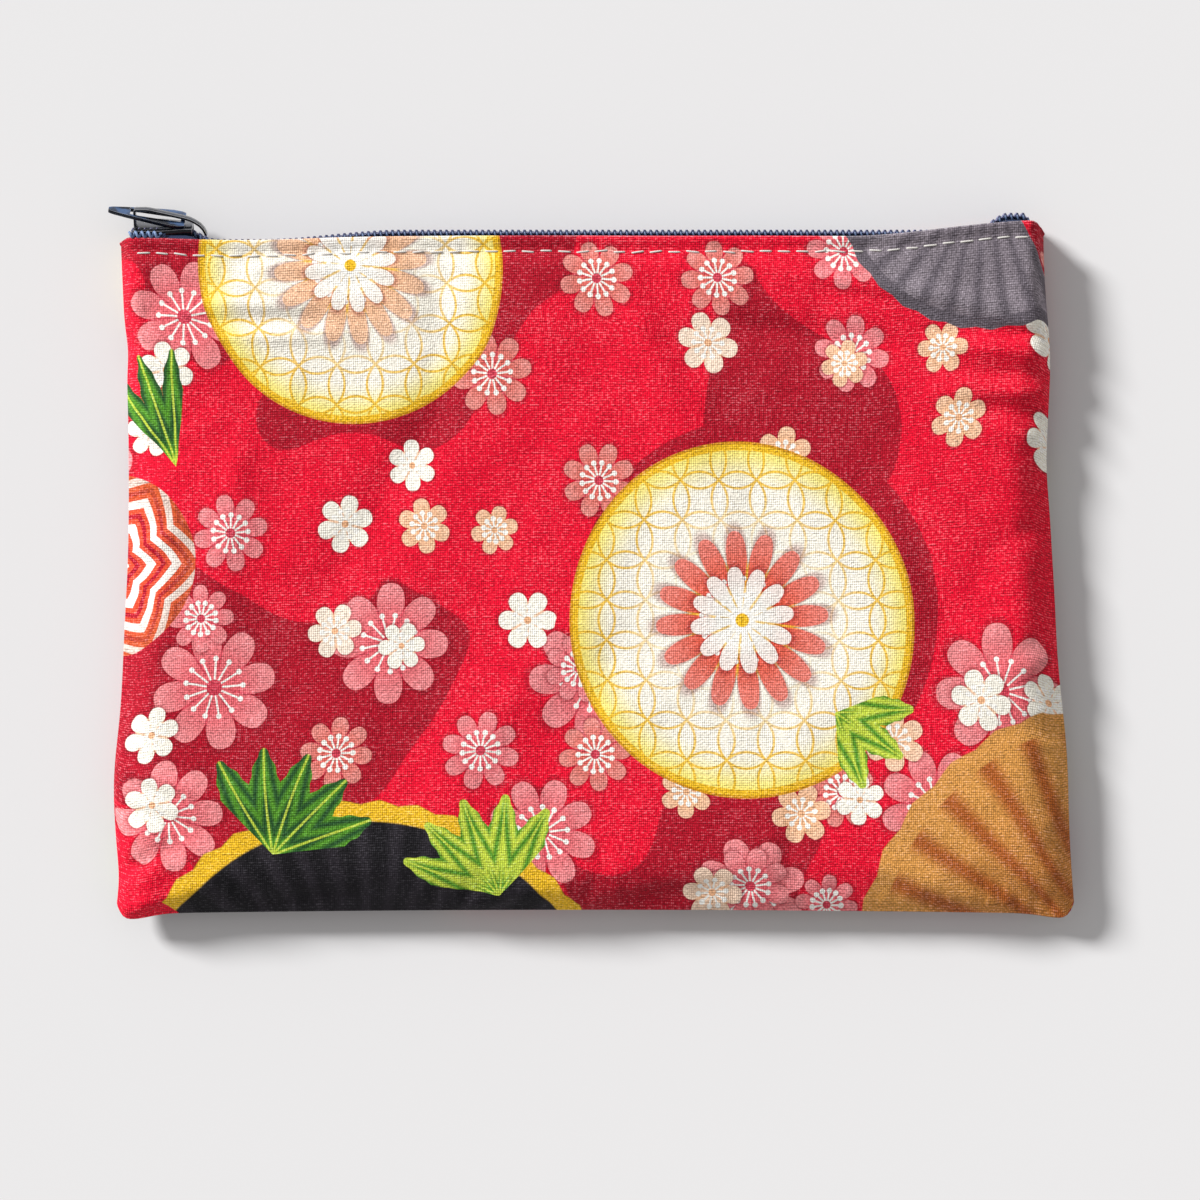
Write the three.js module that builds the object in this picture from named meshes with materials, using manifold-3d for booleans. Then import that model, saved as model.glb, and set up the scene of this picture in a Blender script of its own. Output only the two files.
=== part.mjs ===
// A lined cotton zip pouch, lying on its back with the zip along its far edge.
// Millimetres, +Z up. X runs along the zip, Y from the bottom seam to the zip, Z through the thickness.
// The origin lies on the flat of the back, under the middle of the bottom seam and half way up.
// The front wall is drawn upwards from the seam plane, and the back wall is mirrored in it.
import * as THREE from "three";
import { mergeVertices } from "three/addons/utils/BufferGeometryUtils.js";
import Module from "manifold-3d";

const wasm = await Module();
wasm.setup();

// Sewn outline, seen from above
const bottomWidth = 179.4;
const topWidth = 172.4;
const topShift = -2.4; // the top edge sits a little left of the bottom seam
const pouchHeight = 126.3; // bottom seam to folded top edge
const sideBow = 1.2; // how far the side seams draw in at mid height
const bottomBow = 0.8; // how far the bottom seam draws in at its middle
const earRise = 3; // how far the top edge climbs at its right end
const earLength = 38;
const earFade = 30; // height over which that climb dies out

// Rounded edges of the filled-out pouch
const sideRoll = 9;
const topCornerRoll = 2.5; // the corners beside the zip are blunt
const cornerBlend = 40; // height over which the blunt corners turn into the soft side
const bottomRoll = 10;
const crestBlend = 8; // height over which the wall draws in to the topstitched strip
const crestHeight = 14; // height of that strip, down from the top edge

// Layers and the clearances between them
const insideHeight = 6.6; // between the two linings
const outerThickness = 0.45;
const interfacingThickness = 0.9;
const liningThickness = 0.4;
const tapeThickness = 0.45;
const plyGap = 0.15;
const seamGap = 0.15; // half the gap between front and back at the seam
const interfacingInset = 6.5; // cut without seam allowance
const interfacingTop = 12.5; // stops below the zipper tape
const liningInset = 4;
const liningRoll = 8;
const liningTop = 2.4; // lining fold, below the outer fold

// Zip
const coilPitch = 1.12;
const coilToothWidth = 0.42;
const coilTipReach = 0.5; // past the middle of the chain
const coilRootInset = 0.65; // from the middle of the chain to the roots of the teeth
const coilHalfWidth = 1.8;
const coilHeight = 1.4;
const coilLift = 0.1; // coil above its tape
const coilPart = 1.15; // how far each half is spread by the slider's wedge
const partStart = 4; // spread fully up to here from the slider's mouth
const tapeInnerEdge = 0.45; // from the middle of the chain
const tapeWidth = 11;
const tapeRise = 0.05; // tape crest above the outer fold
const zipEndInset = 2.5; // tape ends, in from the side seams
const coilEndInset = 1.2; // coil ends, in from the side seams
const cordWidth = 0.35;
const cordHeight = 0.4;
const cordTunnelGap = 0.1;
const cordOffset = 1.05; // near face of the cord, from the middle of the chain
const cordLift = 0.5; // underside of the cord, above the underside of the coil
const coilThread = 0.18;
const coilThreadGap = 0.05;

// Slider and pull
const sliderLength = 13.8;
const sliderInset = 2.6; // mouth of the slider, in from the side seam
const sliderMouthHalf = 3.5;
const sliderTailHalf = 2.4;
const sliderShoulder = 5; // where the mouth starts to narrow
const sliderWaist = 9.5; // where it has narrowed
const sliderPlate = 0.6;
const sliderCorner = 0.7;
const sliderWall = 0.45; // thickness of the flanges
const sliderRunGap = 0.15; // over the coil and its thread
const slotGap = 0.3; // flange above the tape
const slotUnder = 0.2; // bottom plate below the tape
const tapeClearance = 0.3; // slider beside the tape that turns down
const wedgeHalf = 0.5;
const wedgeStart = 0.8;
const wedgeShoulder = 4.4;
const wedgeEnd = 6.2;
const crownWidth = 1.6;
const crownStrap = 0.7;
const crownHeight = 3.2;
const crownFlat = 2.6; // where the strap starts to slope down
const crownKnee = 10.4; // where it turns down to its foot
const crownKneeHeight = 1.95;
const crownLength = 11.5;
const crownEase = 0.1; // crown above the plate it stands on
const pullLength = 14; // pivot to tip
const pullWidth = 5.2;
const pullThickness = 0.7;
const pullRail = 0.85;
const pullShoulder = 6; // where the frame starts to narrow
const pullEyeLength = 10.2;
const pullEyeEndWidth = 2.3;
const pullTipWidth = 1.8;
const pullPivotX = 9.2; // from the mouth of the slider
const pullPivotRise = 0.82; // above the top plate
const pullPitch = THREE.MathUtils.degToRad(8);
const pullRoll = THREE.MathUtils.degToRad(10);

// Sewing
const topstitchPitch = 3.4;
const topstitchLength = 2.1;
const topstitchInset = 3; // below the folded edge
const topstitchEnd = 4.4; // in from the side seams
const topstitchThread = 0.26;
const topstitchDip = 0.06;
const threadGap = 0.04;
const seamThread = 0.36;
const outerSeamInset = 1.3;
const liningSeamInset = 1.3; // from the lining's own edge

// Worked out from the values above
const bottomY = -pouchHeight / 2;
const topY = pouchHeight / 2;
const outerCrown =
  insideHeight / 2 + liningThickness + interfacingThickness + 2 * plyGap;
const seamZ = outerCrown + outerThickness;
const tapeFace = sliderMouthHalf + tapeClearance; // inner face of the tape that turns down
const outerCrest = tapeFace + tapeThickness + plyGap;
const tapeTopY = topY + tapeRise;
const coilY = tapeTopY + coilLift;
const topLeftX = topShift - topWidth / 2;
const topRightX = topShift + topWidth / 2;
const sliderX = topLeftX + sliderInset;
const plateY = coilY + coilHeight + coilThreadGap + coilThread + sliderRunGap;
const plateTopY = plateY + sliderPlate;

const cottonRed = { color: 0xc3202f, roughness: 0.9, metalness: 0 };
const cottonCream = { color: 0xe9dfc8, roughness: 0.92, metalness: 0 };
const fleeceWhite = { color: 0xf1f0ec, roughness: 1, metalness: 0 };
const tapeNavy = { color: 0x232c4d, roughness: 0.85, metalness: 0 };
const coilNavy = { color: 0x35436e, roughness: 0.4, metalness: 0 };
const cordNavy = { color: 0x1c2340, roughness: 0.9, metalness: 0 };
const threadWhite = { color: 0xf4efe4, roughness: 0.75, metalness: 0 };
const threadRed = { color: 0xa81c2a, roughness: 0.75, metalness: 0 };
const sliderMetal = { color: 0x2b3038, roughness: 0.28, metalness: 1 };

const { smoothstep, lerp } = THREE.MathUtils;

// Side seams, drawn in between the corners
function sideX(sign, y) {
  const t = (y - bottomY) / pouchHeight;
  const straight = lerp((sign * bottomWidth) / 2, topShift + (sign * topWidth) / 2, t);
  return straight - sign * sideBow * 4 * t * (1 - t);
}

function bottomEdgeY(x) {
  const t = x / (bottomWidth / 2);
  return bottomY + bottomBow * (1 - t * t);
}

function earAt(x) {
  return earRise * smoothstep(x, topRightX - earLength, topRightX);
}

// Quarter-round profile from 0 on the seam to 1 where the roll ends
function roll(distance, width) {
  return Math.sin((Math.PI / 2) * THREE.MathUtils.clamp(distance / width, 0, 1));
}

function sideDistance(x, y) {
  return Math.min(x - sideX(-1, y), sideX(1, y) - x);
}

function sideRollAt(y) {
  return lerp(sideRoll, topCornerRoll, smoothstep(y, topY - cornerBlend, topY - crestHeight));
}

// Inner face of the outer panel, above the seam plane
function outerInside(x, y) {
  const crest = smoothstep(y, topY - crestHeight, topY - crestHeight + crestBlend);
  const full = lerp(outerCrown, outerCrest, crest);
  const round = roll(sideDistance(x, y), sideRollAt(y)) * roll(y - bottomEdgeY(x), bottomRoll);
  return seamGap + (full - seamGap) * round;
}

// Inner face of the lining, above the seam plane
function liningInside(x, y) {
  const side = roll(sideDistance(x, y) - liningInset, liningRoll);
  const bottom = roll(y - bottomEdgeY(x) - liningInset, liningRoll);
  return seamGap + (insideHeight / 2 - seamGap) * side * bottom;
}

// Grid lines, as shares of a length: close together over the rolled ends, even between them
function gridShares(length, startRolls, spans, endRolls) {
  const start = startRolls.map((d) => d / length);
  const end = endRolls.map((d) => 1 - d / length).reverse();
  const from = start.at(-1);
  const to = end[0];
  const middle = [];
  for (let i = 1; i < spans; i += 1) middle.push(lerp(from, to, i / spans));
  return [...start, ...middle, ...end];
}

// A sheet of cloth between two faces, inset from the outline on each edge
function clothSheet({ across, along, sideInset, bottomInset, topInset, climb, lower, upper }) {
  const columns = across.length - 1;
  const rows = along.length - 1;
  const geometry = new THREE.BoxGeometry(1, 1, 1, columns, rows, 1);
  const position = geometry.getAttribute("position");
  for (let i = 0; i < position.count; i += 1) {
    const u = across[Math.round((position.getX(i) + 0.5) * columns)];
    const v = along[Math.round((position.getY(i) + 0.5) * rows)];
    const straightY = lerp(bottomY + bottomInset, topY - topInset, v);
    const x = lerp(sideX(-1, straightY) + sideInset, sideX(1, straightY) - sideInset, u);
    const lift = (bottomEdgeY(x) - bottomY) * (1 - v);
    const ear = climb * earAt(x) * smoothstep(straightY, topY - earFade, topY);
    const y = straightY + lift + ear;
    const face = position.getZ(i) > 0 ? upper : lower;
    position.setXYZ(i, x, y, face(x, straightY + lift));
  }
  return geometry;
}

const sideLines = [0, 1.25, 2.5, 4, 6.5, sideRoll];
const bottomLines = [0, 1.3, 2.8, 4.6, 7, bottomRoll];
const topLines = [0, crestHeight - crestBlend, crestHeight - crestBlend / 2, crestHeight];
for (let i = 1; i <= 4; i += 1) topLines.push(lerp(crestHeight, cornerBlend, i / 4));

function outerPanel() {
  return clothSheet({
    across: gridShares(bottomWidth, sideLines, 6, sideLines),
    along: gridShares(pouchHeight, bottomLines, 4, topLines),
    sideInset: 0,
    bottomInset: 0,
    topInset: 0,
    climb: 1,
    lower: outerInside,
    upper: (x, y) => outerInside(x, y) + outerThickness,
  });
}

function interfacing() {
  const width = bottomWidth - 2 * interfacingInset;
  const height = pouchHeight - interfacingInset - interfacingTop;
  const shared = (lines, inset) => [0, ...lines.filter((d) => d > inset).map((d) => d - inset)];
  const sides = shared(sideLines, interfacingInset);
  const face = (x, y) => outerInside(x, y) - plyGap;
  return clothSheet({
    across: gridShares(width, sides, 6, sides),
    along: gridShares(
      height,
      shared(bottomLines, interfacingInset),
      4,
      shared(topLines, interfacingTop),
    ),
    sideInset: interfacingInset,
    bottomInset: interfacingInset,
    topInset: interfacingTop,
    climb: 1,
    lower: (x, y) => face(x, y) - interfacingThickness,
    upper: face,
  });
}

function lining() {
  const lines = [0, 1.3, 2.8, 5, liningRoll];
  return clothSheet({
    across: gridShares(bottomWidth - 2 * liningInset, lines, 6, lines),
    along: gridShares(pouchHeight - liningInset - liningTop, lines, 5, [0]),
    sideInset: liningInset,
    bottomInset: liningInset,
    topInset: liningTop,
    climb: 0,
    lower: liningInside,
    upper: (x, y) => liningInside(x, y) + liningThickness,
  });
}

// How far a half of the chain is spread at x: fully from the wedge to the left end
function partAt(x) {
  return coilPart * (1 - smoothstep(x, sliderX + partStart, sliderX + sliderWaist));
}

// Places along the chain where that spread changes
const partLines = Array.from(
  { length: 5 },
  (_, i) => sliderX + lerp(partStart, sliderWaist, i / 4),
);

function outline(points) {
  return new THREE.Shape(points.map(([x, y]) => new THREE.Vector2(x, y)));
}

// A shape drawn in X and Z, thickened upwards in Y from baseY
function slab(points, baseY, thickness) {
  const shape = outline(points.map(([x, z]) => [x, -z]));
  const geometry = new THREE.ExtrudeGeometry(shape, { depth: thickness, bevelEnabled: false });
  return geometry.rotateX(-Math.PI / 2).translate(0, baseY, 0);
}

// A shape drawn in X and Y, thickened both ways in Z
function upright(points, width) {
  const geometry = new THREE.ExtrudeGeometry(outline(points), { depth: width, bevelEnabled: false });
  return geometry.translate(0, 0, -width / 2);
}

function solidOf(geometry) {
  const bare = geometry.clone();
  bare.deleteAttribute("normal");
  bare.deleteAttribute("uv");
  const merged = mergeVertices(bare, 1e-4);
  return new wasm.Manifold(
    new wasm.Mesh({
      numProp: 3,
      vertProperties: new Float32Array(merged.getAttribute("position").array),
      triVerts: new Uint32Array(merged.index.array),
    }),
  );
}

function geometryOf(solid) {
  const mesh = solid.getMesh();
  const geometry = new THREE.BufferGeometry();
  geometry.setAttribute("position", new THREE.BufferAttribute(mesh.vertProperties, 3));
  geometry.setIndex(new THREE.BufferAttribute(mesh.triVerts, 1));
  geometry.computeVertexNormals();
  return geometry;
}

const chainStart = topLeftX + coilEndInset;
const chainEnd = topRightX - zipEndInset;

// A strip along the chain that follows its parting, between two distances from its middle
function chainStrip(near, far, from, to) {
  const stations = [from, ...partLines, to];
  const inner = stations.map((x) => [x, near + partAt(x)]);
  const outer = stations.map((x) => [x, far + partAt(x)]);
  return [...inner, ...outer.reverse()];
}

// One half of the coil: a spine with a comb of teeth that reach past the middle
function coilHalf(phase) {
  const inner = [];
  const count = Math.floor((chainEnd - chainStart) / coilPitch);
  for (let i = 0; i < count; i += 1) {
    const x = chainStart + (i + phase) * coilPitch;
    for (const [dx, reach] of [
      [0, coilRootInset],
      [0, -coilTipReach],
      [coilToothWidth, -coilTipReach],
      [coilToothWidth, coilRootInset],
    ]) {
      inner.push([x + dx, reach + partAt(x + coilToothWidth / 2)]);
    }
  }
  const first = inner[0][0] - coilToothWidth / 2;
  const last = inner.at(-1)[0] + coilToothWidth / 2;
  const back = chainStrip(coilRootInset, coilHalfWidth, first, last);
  const ends = back.length / 2;
  const comb = [back[0], ...inner, ...back.slice(ends - 1)];
  const tunnel = chainStrip(
    cordOffset - cordTunnelGap,
    cordOffset + cordWidth + cordTunnelGap,
    first - coilPitch,
    last + coilPitch,
  );
  const solid = solidOf(slab(comb, coilY, coilHeight));
  const hole = solidOf(slab(tunnel, coilY + cordLift - cordTunnelGap, cordHeight + 2 * cordTunnelGap));
  return geometryOf(solid.subtract(hole));
}

function coilCord() {
  const strip = chainStrip(cordOffset, cordOffset + cordWidth, chainStart, chainEnd);
  return slab(strip, coilY + cordLift, cordHeight);
}

// The thread that sews the coil to its tape, lying along the top of the spine
function coilStitching() {
  const near = (coilRootInset + coilHalfWidth) / 2;
  const strip = chainStrip(near, near + coilThread, chainStart, chainEnd);
  return slab(strip, coilY + coilHeight + coilThreadGap, coilThread);
}

// Zipper tape: flat under the coil, turned down between the outer panel and the lining
function zipperTape() {
  const outerFace = tapeFace + tapeThickness;
  const bendY = tapeTopY - tapeThickness;
  const hemY = tapeTopY - (tapeWidth - (outerFace - tapeInnerEdge));
  const half = tapeThickness / 2;
  const section = outline([
    [tapeInnerEdge, bendY],
    [tapeFace - half, bendY],
    [tapeFace, bendY - half],
    [tapeFace, hemY],
    [outerFace, hemY],
    [outerFace, bendY],
    [outerFace - half, tapeTopY],
    [tapeInnerEdge, tapeTopY],
  ]);
  const stations = [topLeftX + zipEndInset, ...partLines, chainEnd];
  const steps = stations.length - 1;
  const geometry = new THREE.ExtrudeGeometry(section, { depth: 1, steps, bevelEnabled: false });
  const position = geometry.getAttribute("position");
  for (let i = 0; i < position.count; i += 1) {
    const z = position.getX(i);
    const x = stations[Math.round(position.getZ(i) * steps)];
    const spread = z < coilHalfWidth ? partAt(x) : 0;
    position.setXYZ(i, x, position.getY(i), z + spread);
  }
  return turnedRound(geometry);
}

// Swapping X and Z turns a solid inside out, so its triangles are turned round
function turnedRound(geometry) {
  const position = geometry.getAttribute("position");
  for (let i = 0; i < position.count; i += 3) {
    const a = new THREE.Vector3().fromBufferAttribute(position, i + 1);
    const b = new THREE.Vector3().fromBufferAttribute(position, i + 2);
    position.setXYZ(i + 1, b.x, b.y, b.z);
    position.setXYZ(i + 2, a.x, a.y, a.z);
  }
  geometry.computeVertexNormals();
  return geometry;
}

// A round thread with a few flat sides, swept along a curve
function thread(path, diameter, sides, steps) {
  const section = new THREE.Shape(
    Array.from({ length: sides }, (_, i) => {
      const angle = ((i + 0.5) * 2 * Math.PI) / sides;
      return new THREE.Vector2(Math.cos(angle), Math.sin(angle)).multiplyScalar(diameter / 2);
    }),
  );
  return new THREE.ExtrudeGeometry(section, { extrudePath: path, steps, bevelEnabled: false });
}

const stitchCount = Math.floor((topWidth - 2 * topstitchEnd) / topstitchPitch);
const pointsPerStitch = 3;

// The route of the topstitching: over the cloth in dashes, and down to it between them
class TopstitchRoute extends THREE.Curve {
  getPoint(t, target = new THREE.Vector3()) {
    const along = t * stitchCount;
    const x = topShift + (along - stitchCount / 2) * topstitchPitch;
    const y = topY - topstitchInset;
    const fromHole = Math.abs(along - Math.round(along)) * topstitchPitch;
    const hole = (topstitchPitch - topstitchLength) / 2;
    const lift = topstitchDip * smoothstep(fromHole, 0, hole);
    const cloth = outerInside(x, y) + outerThickness;
    const ear = earAt(x) * smoothstep(y, topY - earFade, topY);
    return target.set(x, y + ear, cloth + threadGap + topstitchThread / 2 + lift);
  }
}

function topstitching() {
  return thread(new TopstitchRoute(), topstitchThread, 4, stitchCount * pointsPerStitch);
}

// A seam down the left side, along the bottom and up the right side, at one distance from the edge
function seamStitching(inset, topDrop) {
  const sideCount = 4;
  const bottomCount = 6;
  const corner = inset + 2;
  const top = topY - topDrop;
  const low = bottomY + corner;
  const points = [];
  for (let i = 0; i <= sideCount; i += 1) {
    const y = lerp(top, low, i / sideCount);
    points.push(new THREE.Vector3(sideX(-1, y) + inset, y, 0));
  }
  const left = sideX(-1, bottomY) + corner;
  const right = sideX(1, bottomY) - corner;
  for (let i = 0; i <= bottomCount; i += 1) {
    const x = lerp(left, right, i / bottomCount);
    points.push(new THREE.Vector3(x, bottomEdgeY(x) + inset, 0));
  }
  for (let i = 0; i <= sideCount; i += 1) {
    const y = lerp(low, top, i / sideCount);
    points.push(new THREE.Vector3(sideX(1, y) - inset, y, 0));
  }
  return thread(new THREE.CatmullRomCurve3(points, false, "centripetal"), seamThread, 5, 60);
}

// Plan of the slider: wide at its mouth, on the left, and narrow at its tail
function sliderPlan() {
  const half = [
    [0, sliderMouthHalf - sliderCorner],
    [sliderCorner, sliderMouthHalf],
    [sliderShoulder, sliderMouthHalf],
    [sliderWaist, sliderTailHalf],
    [sliderLength - sliderCorner, sliderTailHalf],
    [sliderLength, sliderTailHalf - sliderCorner],
  ];
  return mirrored(half);
}

// The channel between the flanges, open at both ends
function sliderChannel() {
  const mouth = sliderMouthHalf - sliderWall;
  const tail = sliderTailHalf - sliderWall;
  return mirrored([
    [-sliderWall, mouth],
    [sliderShoulder, mouth],
    [sliderWaist, tail],
    [sliderLength + sliderWall, tail],
  ]);
}

function mirrored(half) {
  const other = half.map(([x, z]) => [x, -z]).reverse();
  return [...half, ...other].map(([x, z]) => [sliderX + x, z]);
}

function sliderBody() {
  const slotY = tapeTopY + slotGap;
  const underY = tapeTopY - tapeThickness - slotUnder;
  const wedge = mirrored([
    [wedgeStart, wedgeHalf / 2],
    [wedgeStart + wedgeHalf, wedgeHalf],
    [wedgeShoulder, wedgeHalf],
    [wedgeEnd, wedgeHalf / 5],
  ]);
  const topPlate = solidOf(slab(sliderPlan(), plateY, sliderPlate));
  const bottomPlate = solidOf(slab(sliderPlan(), underY - sliderPlate, sliderPlate));
  const block = solidOf(slab(sliderPlan(), slotY, plateTopY - slotY));
  const channel = solidOf(slab(sliderChannel(), slotY - slotGap, plateY - slotY + slotGap));
  const post = solidOf(slab(wedge, underY - sliderPlate / 2, plateTopY - underY));
  return geometryOf(topPlate.add(block.subtract(channel)).add(bottomPlate).add(post));
}

// The strap over the top plate that the pull hangs on
function sliderCrown() {
  const bend = crownStrap / 2;
  const points = [
    [0, 0],
    [0, crownHeight - bend],
    [bend, crownHeight],
    [crownFlat, crownHeight],
    [crownKnee, crownKneeHeight],
    [crownLength, 0],
    [crownLength - crownStrap, 0],
    [crownKnee - bend, crownKneeHeight - crownStrap],
    [crownFlat - bend / 2, crownHeight - crownStrap],
    [crownStrap, crownHeight - crownStrap],
    [crownStrap, 0],
  ];
  const placed = points.map(([x, y]) => [sliderX + x, plateTopY + crownEase + y]);
  return upright(placed.reverse(), crownWidth);
}

// A flat frame whose end bar is held under the crown, and whose eye passes over it
function pullTab() {
  const bar = pullThickness / 2;
  const half = pullWidth / 2;
  const inner = half - pullRail;
  const eyeEnd = pullEyeEndWidth / 2;
  const outside = (side) => [
    [-bar, side * (half - bar)],
    [0, side * half],
    [pullShoulder, side * half],
    [pullEyeLength, side * (eyeEnd + pullRail)],
    [pullLength, (side * pullTipWidth) / 2],
  ];
  const shape = outline([...outside(-1), ...outside(1).reverse()]);
  const eye = [
    [bar, -inner],
    [pullShoulder, -inner],
    [pullEyeLength, -eyeEnd],
    [pullEyeLength, eyeEnd],
    [pullShoulder, inner],
    [bar, inner],
  ];
  shape.holes.push(new THREE.Path(eye.reverse().map(([x, y]) => new THREE.Vector2(x, y))));
  const geometry = new THREE.ExtrudeGeometry(shape, { depth: pullThickness, bevelEnabled: false });
  geometry.translate(0, 0, -bar);
  return geometry.rotateX(-Math.PI / 2).rotateY(Math.PI).rotateX(pullRoll).rotateZ(-pullPitch);
}

const pouch = new THREE.Group();
pouch.position.z = seamZ;

function piece(name, geometry, look) {
  const mesh = new THREE.Mesh(geometry, new THREE.MeshStandardMaterial(look));
  mesh.name = name;
  pouch.add(mesh);
  return mesh;
}

// The two walls are alike, and their coils are half a pitch apart so that the teeth mesh
for (const [wall, side, phase] of [
  ["front", 1, 0],
  ["back", -1, 0.5],
]) {
  const layers = [
    piece(wall + "_outer_panel", outerPanel(), cottonRed),
    piece(wall + "_interfacing", interfacing(), fleeceWhite),
    piece(wall + "_lining", lining(), cottonCream),
    piece(wall + "_zipper_tape", zipperTape(), tapeNavy),
    piece(wall + "_zipper_coil", coilHalf(phase), coilNavy),
    piece(wall + "_coil_cord", coilCord(), cordNavy),
    piece(wall + "_coil_stitching", coilStitching(), threadWhite),
    piece(wall + "_topstitching", topstitching(), threadWhite),
  ];
  for (const layer of layers) layer.scale.z = side;
}

piece("outer_seam_stitching", seamStitching(outerSeamInset, crestHeight), threadRed);
piece(
  "lining_seam_stitching",
  seamStitching(liningInset + liningSeamInset, crestHeight),
  threadWhite,
);
piece("slider_body", sliderBody(), sliderMetal);
piece("slider_crown", sliderCrown(), sliderMetal);
piece("pull_tab", pullTab(), sliderMetal).position.set(
  sliderX + pullPivotX,
  plateTopY + pullPivotRise,
  0,
);

export default pouch;
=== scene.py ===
# flat zip pouch of printed cotton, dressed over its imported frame
import math
from functools import partialmethod
import bmesh
import bpy
import numpy as np
from mathutils import Matrix, Vector, noise
from mathutils.bvhtree import BVHTree


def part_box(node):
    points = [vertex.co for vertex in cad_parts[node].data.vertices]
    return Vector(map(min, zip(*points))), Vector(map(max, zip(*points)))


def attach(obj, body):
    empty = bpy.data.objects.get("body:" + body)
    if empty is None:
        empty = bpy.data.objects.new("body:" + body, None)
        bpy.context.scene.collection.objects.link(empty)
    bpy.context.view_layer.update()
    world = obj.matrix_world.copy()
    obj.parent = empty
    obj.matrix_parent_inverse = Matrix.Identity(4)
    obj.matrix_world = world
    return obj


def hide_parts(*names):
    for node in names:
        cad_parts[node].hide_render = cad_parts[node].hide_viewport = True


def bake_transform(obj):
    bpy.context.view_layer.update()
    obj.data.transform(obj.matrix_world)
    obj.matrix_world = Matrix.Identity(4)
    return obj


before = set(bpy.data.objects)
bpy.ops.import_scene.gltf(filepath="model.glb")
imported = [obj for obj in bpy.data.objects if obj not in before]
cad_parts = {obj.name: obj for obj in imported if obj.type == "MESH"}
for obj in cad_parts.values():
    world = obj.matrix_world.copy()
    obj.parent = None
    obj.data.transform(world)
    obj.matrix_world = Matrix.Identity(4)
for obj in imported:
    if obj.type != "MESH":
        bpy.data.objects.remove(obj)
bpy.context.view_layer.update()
scene = bpy.context.scene
mm = 0.001
facing = {"back": -1, "front": 1}
suffixes = {-1: "_left", 0: "", 1: "_right"}
print("frame loaded")


def clamp(value, low=0.0, high=1.0):
    return min(max(value, low), high)


def mix(a, b, share):
    return a + (b - a) * share


def ease(value, start, end):  # 0 before start, 1 after end
    t = clamp((value - start) / (end - start))
    return t * t * (3 - 2 * t)


def hill(value, centre, width):  # 1 at the centre, nearly 0 two widths away
    return math.exp(-(((value - centre) / width) ** 2))


def addObject(name, data):
    made = bpy.data.objects.new(name, data)
    scene.collection.objects.link(made)
    return made


def meshOf(piece):
    bm = bmesh.new()
    bm.from_mesh(piece.data)
    return bm


def store(bm, mesh):
    bm.to_mesh(mesh)
    bm.free()


def newObject(name, bm):
    mesh = bpy.data.meshes.new(name)
    store(bm, mesh)
    return addObject(name, mesh)


def placedGrid(columns, levels, place):  # place gives x, y, z and its spot on the flat cloth, in mm
    bm = bmesh.new()
    last = len(levels) - 1
    bmesh.ops.create_grid(bm, x_segments=columns, y_segments=last, size=1)
    flat = bm.loops.layers.uv.new("flat")
    row = bm.verts.layers.float.new("row")
    for vert in bm.verts:
        level = levels[round((vert.co.y + 1) / 2 * last)]
        x, y, z, *spot = place(vert.co.x, level)
        vert[row] = level
        for loop in vert.link_loops:
            loop[flat].uv = Vector(spot or (x, y)) / 100
        vert.co = Vector((x, y, z)) * mm
    return bm


def keepHalf(bm, side):  # left (-1) or right (1) of the cloth's middle, or all of it (0)
    flat = bm.loops.layers.uv["flat"]
    wrong = [f for f in bm.faces if sum(l[flat].uv.x for l in f.loops) * side < 0]
    bmesh.ops.delete(bm, geom=wrong, context="FACES")


def applied(piece, kind, **values):
    modifier = piece.modifiers.new(kind, kind)
    for key, value in values.items():
        setattr(modifier, key, value)
    graph = bpy.context.evaluated_depsgraph_get()
    mesh = bpy.data.meshes.new_from_object(
        piece.evaluated_get(graph), preserve_all_data_layers=True, depsgraph=graph
    )
    piece.modifiers.clear()
    piece.data = mesh


def smoothShade(piece, sharp=None):  # edges sharper than so many degrees stay sharp
    mesh = piece.data
    mesh.polygons.foreach_set("use_smooth", [True] * len(mesh.polygons))
    if sharp:
        bm = meshOf(piece)
        for edge in bm.edges:
            if len(edge.link_faces) == 2 and edge.calc_face_angle(0) > math.radians(sharp):
                edge.smooth = False
        store(bm, mesh)


def thicken(piece, thickness, offset=-1):
    applied(piece, "SOLIDIFY", thickness=thickness * mm, offset=offset)
    smoothShade(piece, 50)


# camera, floor and light
studio = {
    "centre": (1.0, -4.5, 8.0),  # mm, what the middle of the picture looks at
    "frameWidth": 223.5,  # mm across the picture
    "lens": 150.0,
    "sensor": 36.0,
    "floorColour": (0.838, 0.83, 0.832),
    "floorSize": 4.0,
    "floorDrop": 0.02,  # mm below the pouch
    "sunShare": 0.63,  # of the plain level, the rest is the even light around
    "sunHeight": 30.0,  # degrees above the floor
    "sunTurn": 143.5,  # degrees, from the upper left
    "sunWidth": 14.0,
    "skyTint": (1.0, 0.99, 0.99),
}


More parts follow.
